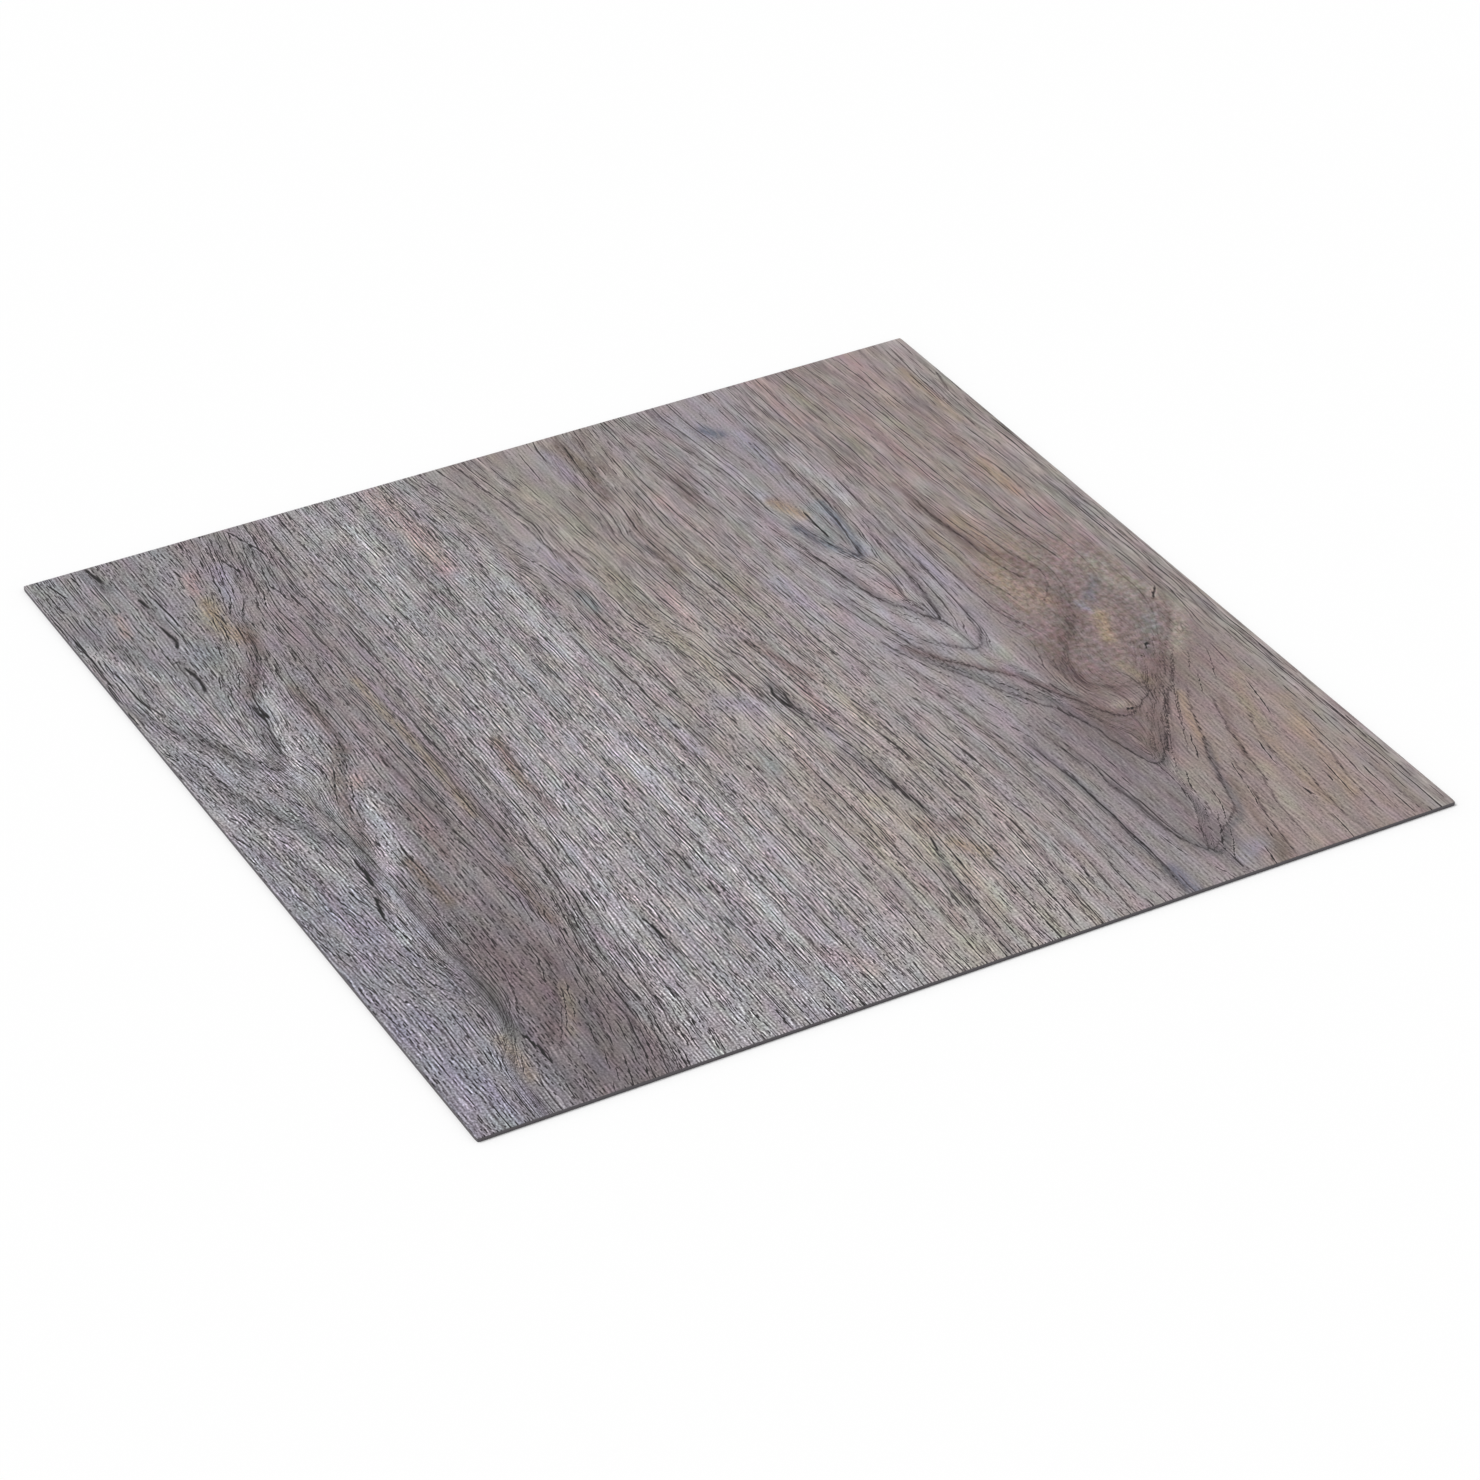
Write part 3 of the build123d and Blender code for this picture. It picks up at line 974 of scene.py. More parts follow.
PORES = RowStyle(pitch=0.95, length=4.0, width=0.18, seed=3.0, stops=-4.0)
CRACKS = RowStyle(pitch=1.9, length=16.0, width=0.17, seed=17.0, stops=-7.0)
THREADS = RowStyle(pitch=3.0, length=60.0, width=0.2, seed=11.0, stops=-4.0)


@dataclass(frozen=True)
class SoftPattern:
    """Size of one soft random pattern of the print.

    Attributes:
        across: size across the grain, mm.
        along: size along the grain, mm.
        seed: number that sets this pattern apart from the others.
        detail: finer layers added to it.
    """

    across: float
    along: float
    seed: float
    detail: float = 0.0


SWAY = SoftPattern(3.0, 12.0, 21.0)             # lines and rows wander with it
FRINGE = SoftPattern(0.7, 5.0, 41.0, 1.0)       # frays the lines and bands, as fine as the pores
PORE_COVER = SoftPattern(6.0, 16.0, 71.0)       # where the pores lie thick or thin
HATCH_PATCH = SoftPattern(3.0, 5.5, 51.0)       # where the fine hatch is strong or weak
SPECK = SoftPattern(0.5, 0.8, 2.3)              # finest speckle
DRIFT = SoftPattern(3.2, 45.0, 11.9, 1.0)       # streaks a few millimetres wide
STRAND = SoftPattern(0.8, 13.0, 0.0, 1.0)       # soft streaks along the fibres
BLOTCH = SoftPattern(3.5, 55.0, 4.0)            # hue of long streaks
MOTTLE = SoftPattern(1.8, 2.1, 61.0, 1.0)       # mottles of a knot
HUE_PATCH = SoftPattern(5.0, 12.0, 81.0)        # hue of patches half a centimetre wide
EMBOSSING = SoftPattern(0.7, 5.0, 33.0, 1.0)    # fine ups and downs of the wear layer


class ShaderGroup:
    """A shader node group with named inputs and outputs, built once and placed with its own values."""

    NAME = ""
    INPUTS: tuple[str, ...] = ()
    OUTPUTS: tuple[str, ...] = ()

    def tree(self) -> bpy.types.NodeTree:
        """Build the group, or find it if it is there.

        Returns:
            The group's nodes.
        """
        if self.NAME in bpy.data.node_groups:
            return bpy.data.node_groups[self.NAME]
        tree = bpy.data.node_groups.new(self.NAME, "ShaderNodeTree")
        for name in self.INPUTS:
            tree.interface.new_socket(name, in_out="INPUT", socket_type="NodeSocketFloat")
        for name in self.OUTPUTS:
            tree.interface.new_socket(name, in_out="OUTPUT", socket_type="NodeSocketFloat")
        n = NodeSketch(tree)
        results = self._drawn(n, n.add("NodeGroupInput").outputs)
        output = n.add("NodeGroupOutput")
        for name, value in zip(self.OUTPUTS, results):
            n.feed(output.inputs[name], value)
        return tree

    def _drawn(self, n: NodeSketch, given: bpy.types.NodeOutputs) -> tuple[Socket, ...]:
        """Draw the group's nodes, and give its outputs in order."""
        raise NotImplementedError

    def placed(self, n: NodeSketch, *values: Given) -> tuple[Socket, ...]:
        """Place the group in a material.

        Args:
            n: the material's nodes.
            values: sockets or numbers for the inputs, in order.

        Returns:
            The group's outputs.
        """
        node = n.add("ShaderNodeGroup", node_tree=self.tree())
        for name, value in zip(self.INPUTS, values):
            n.feed(node.inputs[name], value)
        return tuple(node.outputs)


class GrainRows(ShaderGroup):
    """Dark dashes with painted highlights on their flanks, in rows along the fibres."""

    NAME = "grain_rows"
    INPUTS = ("Fibre", "Spread", "Along", "Pitch", "Length", "Width", "Cover", "Seed")
    OUTPUTS = ("Dark", "Bright")

    LEAST_PACE = 0.6            # least number of dashes in a usual dash's length
    PACE_SPREAD = 0.8           # spread of that number from row to row
    ROW_SHUFFLE = 37.0          # largest shift of a row along the grain, in dashes
    CELL_SHUFFLE = 7.3          # sets the random numbers of a row's dashes apart from the row's own
    RANK_SHUFFLE = 13.0         # turns a dash's rank into its place
    LEAST_HALF = 0.15           # least half length of a dash, as a share of its room
    HALF_SPREAD = 0.34          # spread of that half length
    ASIDE = 0.8                 # spread of the dashes about the middle of a row, as a share of the pitch
    COVER_STEP = (0.0, 0.45)    # cover over its rank at which a dash begins to show and is full
    END = (1.0, 0.5)            # half lengths from its middle at which a dash is gone and full
    CORE = (1.25, 0.55)         # half widths from its middle at which the dark is gone and full
    HIGHLIGHT_FLANK_INSIDE = (1.2, 1.7)   # half widths at which the painted highlight on the flank begins and is full
    HIGHLIGHT_FLANK_OUTSIDE = (2.8, 2.0)  # half widths at which it is gone and full

    def _drawn(self, n: NodeSketch, given: bpy.types.NodeOutputs) -> tuple[Socket, ...]:
        """Draw the rows.

        Args:
            n: the group's nodes.
            given: the group's inputs.

        Returns:
            The dark share, and the share of the painted highlight on the flanks.
        """
        local = n.math("DIVIDE", given["Pitch"], given["Spread"])
        place = n.total(n.math("DIVIDE", given["Fibre"], given["Pitch"]), given["Seed"])
        row, inside = self._cell(n, place)
        start, stretch, _ = n.chance(row, given["Seed"])
        pace = n.math("DIVIDE", n.scaled(stretch, self.PACE_SPREAD, self.LEAST_PACE), given["Length"])
        cell, course = self._cell(n, n.scaled(given["Along"], pace, n.times(start, self.ROW_SHUFFLE)))
        aside, extent, rank = n.chance(n.times(row, self.CELL_SHUFFLE), n.total(cell, given["Seed"]))
        half = n.scaled(extent, self.HALF_SPREAD, self.LEAST_HALF)
        room = n.scaled(half, -2.0, 1.0)
        middle = n.times(n.swing(n.math("FRACT", n.times(rank, self.RANK_SHUFFLE))), room)
        end = n.math("DIVIDE", n.gap(course, middle), half)
        gap = n.times(n.gap(inside, n.times(n.swing(aside), self.ASIDE)), local)
        ratio = n.math("DIVIDE", gap, given["Width"])
        there = n.ease(n.math("SUBTRACT", given["Cover"], rank), self.COVER_STEP)
        body = n.times(n.ease(end, self.END), there)
        dark = n.times(n.ease(ratio, self.CORE), body)
        # The second output is a painted highlight on the flanks of each dash.
        return dark, n.times(n.ease(ratio, self.HIGHLIGHT_FLANK_INSIDE), n.ease(ratio, self.HIGHLIGHT_FLANK_OUTSIDE), body)

    @staticmethod
    def _cell(n: NodeSketch, place: Socket) -> tuple[Socket, Socket]:
        """Number of the cell that a place is in, and its way from the cell's middle."""
        number = n.math("FLOOR", place)
        return number, n.swing(n.math("SUBTRACT", place, number))


class VinylMarks(ShaderGroup):
    """Drawn-out marks of the filler in bare vinyl, with a tone that changes up the tile."""

    NAME = "vinyl_marks"
    INPUTS = ("X", "Y", "Z", "Length X", "Length Y", "Length Z", "Thickness", "Contrast", "Lift")
    OUTPUTS = ("Tone", "Marks")

    DETAIL = 3.0            # finer layers of the marks
    LAYER_WEIGHT = 0.65     # weight of each finer layer

    def _drawn(self, n: NodeSketch, given: bpy.types.NodeOutputs) -> tuple[Socket, ...]:
        """Draw the marks.

        Args:
            n: the group's nodes.
            given: the group's inputs.

        Returns:
            The tone, and the marks by themselves.
        """
        place = [n.math("DIVIDE", given[axis], given["Length " + axis]) for axis in ("X", "Y", "Z")]
        marks = n.noise(n.combine(*place), self.DETAIL, self.LAYER_WEIGHT, dimensions=3)
        height = n.swing(n.math("DIVIDE", given["Z"], given["Thickness"]))
        tone = n.scaled(height, given["Lift"], 1.0)
        return n.scaled(n.times(n.swing(marks), 2.0), given["Contrast"], tone), marks


def blank_material(name: str) -> bpy.types.Material:
    """Start a material with no nodes.

    Args:
        name: name of the material.

    Returns:
        The empty material.
    """
    material = bpy.data.materials.new(name)
    material.use_nodes = True
    material.node_tree.nodes.clear()
    return material


class WearFaceFinish:
    """The printed film under its matte, embossed wear layer."""

    PAINTED_RIDGE_HIGHLIGHT_STOPS = 0.7               # brightness of the painted highlight on the ridge beside a pore, crack or thread
    RIPPLE_STOPS = 1.2              # spread of the fine hatch
    SPECK_STOPS = 2.6               # spread of the finest speckle
    DRIFT_STOPS = 0.9               # spread of the streaks a few millimetres wide
    CLOUD_STOPS = 0.6               # spread of the long soft patches
    STREAK_STOPS = 2.0              # spread of the soft streaks where the pores are weak
    MOTTLE_STOPS = 3.8              # spread of the mottles of a knot
    PALE_LIMIT = 0.25               # share that the pale side of the grain is held back by
    BLOTCH_TINT = 0.08              # spread of the hue between long streaks
    PATCH_TINT = 0.12               # spread of the hue between patches half a centimetre wide
    MOTTLE_TINT = 0.25              # spread of the hue of a knot's mottles
    MOTTLE_ELSEWHERE = 0.1          # share of that spread outside a knot
    DARK_HUE = (0.06, -0.05, 0.0)   # change of hue in the darkest marks
    DARK_TONE = (0.0, -2.0)         # stops between which that hue comes in

    KNOT_CRACKS = (0.25, 0.05)      # strengths of the cracks between which a zone becomes a knot
    CALM_PORES = (0.8, 0.5)         # strengths of the pores between which a zone becomes calm
    CALM_LOSS = 0.7                 # share of its pores that a calm zone loses
    KNOT_STREAK_LOSS = 0.7          # share of its soft streaks that a knot loses
    KNOT_HATCH_LOSS = 0.8           # share of its fine hatch that a knot loses
    STREAK_ROOM = (0.5, 0.9)        # fibres to the mm between which the soft streaks come in

    HATCH_PITCH = 1.05              # pitch of the finest hatch, mm
    HATCH_LEAN = 0.25               # share of the fibres' course that the upright hatch follows
    HATCH_SWAY = 0.3                # wander of the upright hatch, mm
    HATCH_PHASE = (5.0, 1.5)        # shift of the finest hatch with the sway and with the fringe, radians
    HATCH_NOISE = (0.38, 0.62)      # pattern values between which the hatch goes from weak to full
    HATCH_SHARE = (0.25, 1.0)       # share of the hatch where it is weak and where it is full
    FINEST_PORES = (0.3, 0.9)       # strengths of the pores between which the finest grain rises
    FINEST_SHARE = (0.4, 1.0)       # share of the finest grain at those strengths

    PORE_COVER_MEAN = 0.8           # usual cover of the pores
    PORE_COVER_SPREAD = 2.0         # spread of that cover between patches
    PORE_COVER_RING = 0.3           # cover added on a ring line, for each stop of it
    FIBRE_SWAY = 0.6                # wander of cracks, threads and streaks with the sway, mm
    FIBRE_JAG = 0.6                 # share of a line's fraying that they take
    CROWDED = (1.3, 3.0)            # fibres to the mm between which cracks and threads thin out
    CROWDED_COVER = (1.0, 0.5)      # cover of the cracks and threads at those numbers

    STEEPEST = 0.6                  # lean past which a line frays no more
    JAG = 4.0                       # fraying of a slanting line, mm for each unit of lean
    LEAST_JAG = 0.4                 # fraying of an upright line, mm
    RING_SWAY = 1.2                 # wander of a ring line, mm
    RING_CORE = (0.1, 1.6)          # half widths at which a ring line is full and gone
    RING_GAIN = 2.0                 # stops of a ring line for each unit of its depth
    RING_BETWEEN = 0.6              # share of a ring line that shows between the pores
    CHECK_SWAY = 0.9                # wander of a check, mm
    CHECK_CORE = (0.3, 1.5)         # half widths at which a check is full and gone
    CHECK_GAIN = (1.65, 5.5)        # stops of a check for each unit of its depth, broken and whole
    CHECK_BREAK = (0.3, 0.55)       # fringe values between which a check goes from broken to whole
    RIM_HIGHLIGHT_STOPS = -0.35               # brightness of the painted highlight on the pale rim of a check
    RIM_HIGHLIGHT_INSIDE = (1.2, 1.8)         # half widths at which that painted highlight begins and is full
    RIM_HIGHLIGHT_OUTSIDE = (4.0, 1.8)        # half widths at which it is gone and full
    BAND_FRINGE = (0.3, 0.6)        # fringe values between which the bands go from weak to strong
    BAND_SHARE = (0.5, 1.3)         # share of the bands' colour at those values, held at 1

    EMBOSS = 0.06 * MM              # depth of the embossing
    EMBOSS_STRENGTH = 0.6           # share of that depth that shows
    ROUGH_TONE = (-1.0, 1.0)        # stops between which the roughness changes
    ROUGHNESS = (0.67, 0.45)        # roughness at those tones
    GLOSS = 0.3                     # specular level of the wear layer

    def __init__(self) -> None:
        """Start the material and read the places and fields that it is drawn from."""
        self.material = blank_material("printed_wood_wear_face")
        self.n = NodeSketch(self.material.node_tree)
        place = self.n.object_place()
        self.x = self.n.math("DIVIDE", place[0], MM)
        self.y = self.n.math("DIVIDE", place[1], MM)
        self.fibre, self.spread, self.lean = self._field("grain_flow")
        self.pores, self.cracks, self.streaks = self._field("grain_mix")
        self.knotty = self.n.ease(self.cracks, self.KNOT_CRACKS)
        self.calm = self.n.ease(self.pores, self.CALM_PORES)

    def _field(self, name: str) -> tuple[Socket, ...]:
        """Read the three values of one of the piece's fields."""
        return self.n.separate(self.n.attribute(name, "Vector"))

    def _pattern(self, size: SoftPattern, output: NoiseOutput = NoiseOutput.VALUE) -> Socket:
        """Lay a soft pattern over the plan.

        Args:
            size: size of the pattern.
            output: one value or three.

        Returns:
            The pattern, from 0 to 1.
        """
        x = self.n.total(self.n.math("DIVIDE", self.x, size.across), size.seed)
        y = self.n.math("DIVIDE", self.y, size.along)
        return self.n.noise(self.n.combine(x, y), size.detail, output=output)

    def _hue(self, size: SoftPattern) -> Socket:
        """A soft pattern of three values, each evenly about 0."""
        return self.n.vector("SUBTRACT", self._pattern(size, NoiseOutput.TRIPLE), (0.5, 0.5, 0.5))

    def _rows(self, style: RowStyle, fibre: Socket, spread: Given, cover: Socket) -> tuple[Socket, Socket]:
        """Draw one kind of grain row.

        Args:
            style: size of the rows.
            fibre: course that the rows follow, mm.
            spread: fibres to the mm there.
            cover: share of the dashes that show.

        Returns:
            The dark share, and the tone in stops with the painted highlight on the flanks.
        """
        sizes = (style.pitch, style.length, style.width)
        dark, painted_highlight = GrainRows().placed(self.n, fibre, spread, self.y, *sizes, cover, style.seed)
        # The bright share is a painted highlight on the ridges beside the dashes.
        return dark, self.n.scaled(dark, style.stops, self.n.times(painted_highlight, self.PAINTED_RIDGE_HIGHLIGHT_STOPS))

    def _line(self, name: str, sway: Socket, core: Span) -> tuple[Socket, Socket, Socket]:
        """Draw the nearest line of a field.

        Args:
            name: name of the field.
            sway: wander of the line, mm.
            core: half widths at which the line is full and gone.

        Returns:
            The dark core, the line's depth and the distance to it in half widths.
        """
        offset, reach, depth = self._field(name)
        ratio = self.n.math("DIVIDE", self.n.math("ABSOLUTE", self.n.total(offset, sway)), reach)
        return self.n.ease(ratio, core, (1.0, 0.0)), depth, ratio

    def _ring(self, sway: Socket, jag: Socket) -> Socket:
        """Darkness of the ring lines in stops, with their wander and fraying."""
        core, depth, _ = self._line("ring_line", self.n.scaled(sway, self.RING_SWAY, jag), self.RING_CORE)
        return self.n.times(core, depth, self.RING_GAIN)

    def _check(self, sway: Socket, jag: Socket, fringe: Socket) -> Socket:
        """Draw the checks with the painted highlights on their pale rims.

        Args:
            sway: pattern that the checks wander with.
            jag: fraying of the checks, mm.
            fringe: fine pattern that breaks them up.

        Returns:
            Their darkness in stops, less the painted highlight on their rims.
        """
        n = self.n
        core, depth, ratio = self._line("check_line", n.scaled(sway, self.CHECK_SWAY, jag), self.CHECK_CORE)
        gain = n.ease(fringe, self.CHECK_BREAK, self.CHECK_GAIN)
        # The pale rim is a painted highlight beside the check.
        rim_highlight = n.times(n.ease(ratio, self.RIM_HIGHLIGHT_OUTSIDE), n.ease(ratio, self.RIM_HIGHLIGHT_INSIDE), depth)
        return n.total(n.times(core, depth, gain), n.times(rim_highlight, self.RIM_HIGHLIGHT_STOPS))

    def _finest(self, upright: Socket, sway: Socket, fringe: Socket) -> Socket:
        """Draw the finest hatch and speckle.

        Args:
            upright: course of the upright hatch, mm.
            sway: pattern that the hatch wanders with.
            fringe: fine pattern that roughens it.

        Returns:
            Their tone in stops.
        """
        n = self.n
        shift = n.scaled(sway, self.HATCH_PHASE[0], n.times(fringe, self.HATCH_PHASE[1]))
        hatch = n.math("SINE", n.scaled(upright, math.tau / self.HATCH_PITCH, shift))
        patch = n.ease(self._pattern(HATCH_PATCH), self.HATCH_NOISE, self.HATCH_SHARE)
        ripple = n.times(hatch, patch, n.scaled(self.knotty, -self.KNOT_HATCH_LOSS, 1.0))
        speck = n.times(n.swing(self._pattern(SPECK)), self.SPECK_STOPS)
        share = n.ease(self.pores, self.FINEST_PORES, self.FINEST_SHARE, Easing.EVEN)
        return n.times(n.scaled(ripple, self.RIPPLE_STOPS, speck), share)

    def _soft_streaks(self, fibre: Socket) -> Socket:
        """Draw the soft streaks of the calm zones.

        Args:
            fibre: course that the streaks follow, mm.

        Returns:
            Their tone in stops.
        """
        n = self.n
        place = n.combine(n.math("DIVIDE", fibre, STRAND.across), n.math("DIVIDE", self.y, STRAND.along))
        streak = n.times(n.swing(n.noise(place, STRAND.detail)), self.STREAK_STOPS)
        share = n.scaled(self.knotty, -self.KNOT_STREAK_LOSS, self.calm)
        return n.times(streak, share, n.ease(self.spread, self.STREAK_ROOM))

    def _tone(self, cloud: Socket, fringe: Socket, mottle: Socket) -> Socket:
        """Tone of the print over its ground colour, with painted highlights beside the pores, cracks,
        threads and checks.

        Args:
            cloud: pattern of the long soft patches.
            fringe: pattern as fine as the pores, which frays the lines.
            mottle: tone of the mottles of a knot.

        Returns:
            The tone in stops.
        """
        n = self.n
        sway = n.swing(self._pattern(SWAY))
        slope = n.math("MINIMUM", n.math("ABSOLUTE", self.lean), self.STEEPEST)
        jag = n.times(n.swing(fringe), n.scaled(slope, self.JAG, self.LEAST_JAG))
        ring = self._ring(sway, jag)
        drawn = n.times(n.math("SUBTRACT", self.fibre, self.x), self.HATCH_LEAN)
        upright = n.total(drawn, n.times(sway, self.HATCH_SWAY), self.x)
        bend = n.scaled(sway, self.FIBRE_SWAY, n.times(jag, self.FIBRE_JAG))
        fibre = n.scaled(bend, self.spread, self.fibre)
        thick = n.times(n.swing(self._pattern(PORE_COVER)), self.PORE_COVER_SPREAD)
        cover = n.total(n.scaled(ring, self.PORE_COVER_RING, self.PORE_COVER_MEAN), thick)
        pore, pores = self._rows(PORES, upright, 1.0, cover)
        pores = n.times(pores, n.scaled(self.calm, -self.CALM_LOSS, 1.0))
        room = n.ease(self.spread, self.CROWDED, self.CROWDED_COVER)
        _, cracks = self._rows(CRACKS, fibre, self.spread, room)
        _, threads = self._rows(THREADS, fibre, self.spread, room)
        fine = n.total(pores, self._finest(upright, sway, fringe), n.times(mottle, self.MOTTLE_STOPS))
        long = n.scaled(n.swing(self._pattern(DRIFT)), self.DRIFT_STOPS, threads)
        hatched_ring = n.times(ring, n.total(pore, self.RING_BETWEEN))
        dark = n.total(hatched_ring, self._check(sway, jag, fringe))
        tone = n.total(
            n.times(self.pores, fine),
            n.times(self.cracks, cracks),
            self._soft_streaks(fibre),
            n.times(self.streaks, long),
            n.times(n.swing(cloud), self.CLOUD_STOPS),
            n.times(dark, -1.0),
        )
        return n.scaled(n.math("MAXIMUM", tone, 0.0), -self.PALE_LIMIT, tone)

    def _ground(self, fringe: Socket, blotch: Socket, mottle: Socket) -> Socket:
        """Ground colour of the print, with its bands and its changes of hue.

        Args:
            fringe: fine pattern that frays the bands.
            blotch: hue of long streaks.
            mottle: hue of the mottles of a knot.

        Returns:
            The colour.
        """
        n = self.n
        tint = (1.0 - 0.5 * self.BLOTCH_TINT,) * 3
        patch = self._hue(HUE_PATCH)
        spreads = ((blotch, self.BLOTCH_TINT), (mottle, self.MOTTLE_TINT), (patch, self.PATCH_TINT))
        for hue, spread in spreads:
            tint = n.vector("MULTIPLY_ADD", hue, (spread,) * 3, tint)
        bands = n.add("ShaderNodeMix", data_type="RGBA")
        n.feed(bands.inputs["Factor"], n.ease(fringe, self.BAND_FRINGE, self.BAND_SHARE, Easing.EVEN))
        n.feed(bands.inputs["A"], n.attribute("ground", "Color"))
        n.feed(bands.inputs["B"], n.attribute("banded_ground", "Color"))
        return n.vector("MULTIPLY", bands.outputs["Result"], tint)

    def build(self) -> bpy.types.Material:
        """Build the material.

        Returns:
            The wear face's material.
        """
        n = self.n
        blotch = self._pattern(BLOTCH, NoiseOutput.TRIPLE)
        fringe = self._pattern(FRINGE)
        knotty = n.scaled(self.knotty, 1.0 - self.MOTTLE_ELSEWHERE, self.MOTTLE_ELSEWHERE)
        mottle = n.vector("MULTIPLY", self._hue(MOTTLE), n.combine(knotty, knotty, knotty))
        tone = self._tone(n.separate(blotch)[2], fringe, n.times(n.separate(mottle)[2], self.knotty))
        dark = n.ease(tone, self.DARK_TONE)
        hue = n.vector("MULTIPLY_ADD", n.combine(dark, dark, dark), self.DARK_HUE, (1.0, 1.0, 1.0))
        ground = n.vector("MULTIPLY", self._ground(fringe, blotch, mottle), hue)
        bump = n.add("ShaderNodeBump")
        bump.inputs["Strength"].default_value = self.EMBOSS_STRENGTH
        bump.inputs["Distance"].default_value = self.EMBOSS
        n.feed(bump.inputs["Height"], self._pattern(EMBOSSING))
        shader = n.add("ShaderNodeBsdfPrincipled")
        n.feed(shader.inputs["Base Color"], n.dimmed(ground, n.math("POWER", 2.0, tone)))
        n.feed(shader.inputs["Roughness"], n.ease(tone, self.ROUGH_TONE, self.ROUGHNESS, Easing.EVEN))
        shader.inputs["Specular IOR Level"].default_value = self.GLOSS
        n.feed(shader.inputs["Normal"], bump.outputs[0])
        n.feed(n.add("ShaderNodeOutputMaterial").inputs["Surface"], shader.outputs[0])
        return self.material


@dataclass(frozen=True)
class BareVinylFinish:
    """The grey filled vinyl below the print, where it shows bare.

    Attributes:
        name: name of the material.
        colour: colour half way up the tile, 8-bit sRGB.
        grain: length of the marks along X, Y and Z, mm.
        contrast: spread of the marks, as a share of the colour.
        lift: change of tone from the underside to the wear face, as a share of the colour.
        roughness: mean roughness.
        film: weight of the clear film over it.
    """

    MARK_RANGE = (0.2, 0.8)         # pattern values of the smoothest and the roughest mark
    ROUGH_SPREAD = 0.1              # change of roughness either way
    FILM_ROUGHNESS = 0.25

    name: str
    colour: Colour
    grain: tuple[float, float, float]
    contrast: float
    lift: float
    roughness: float
    film: float

    def build(self, thickness: float) -> bpy.types.Material:
        """Build the material.

        Args:
            thickness: height of the tile, m.

        Returns:
            The bare vinyl's material.
        """
        material = blank_material(self.name)
        n = NodeSketch(material.node_tree)
        lengths = tuple(size * MM for size in self.grain)
        sizes = (*n.object_place(), *lengths, thickness)
        tone, marks = VinylMarks().placed(n, *sizes, self.contrast, self.lift)
        shader = n.add("ShaderNodeBsdfPrincipled")
        n.feed(shader.inputs["Base Color"], n.dimmed(tuple(to_linear(display(self.colour))), tone))
        rough = (self.roughness - self.ROUGH_SPREAD, self.roughness + self.ROUGH_SPREAD)
        n.feed(shader.inputs["Roughness"], n.ease(marks, self.MARK_RANGE, rough))
        shader.inputs["Coat Weight"].default_value = self.film
        shader.inputs["Coat Roughness"].default_value = self.FILM_ROUGHNESS
        n.feed(n.add("ShaderNodeOutputMaterial").inputs["Surface"], shader.outputs[0])
        return material


CUT_EDGE = BareVinylFinish(
    name="cut_vinyl_edge", colour=(80, 76, 80), grain=(0.6, 0.6, 4.0),
    contrast=0.35, lift=0.35, roughness=0.6, film=0.0,
)
UNDERSIDE = BareVinylFinish(
    name="adhesive_underside", colour=(104, 100, 102), grain=(5.0, 120.0, 4.0),
    contrast=0.3, lift=0.0, roughness=0.45, film=0.6,
)


class Side(Enum):
    """Sides of the tile, by their place in its list of materials."""

    WEAR_FACE = 0
    EDGE = 1
    UNDERSIDE = 2


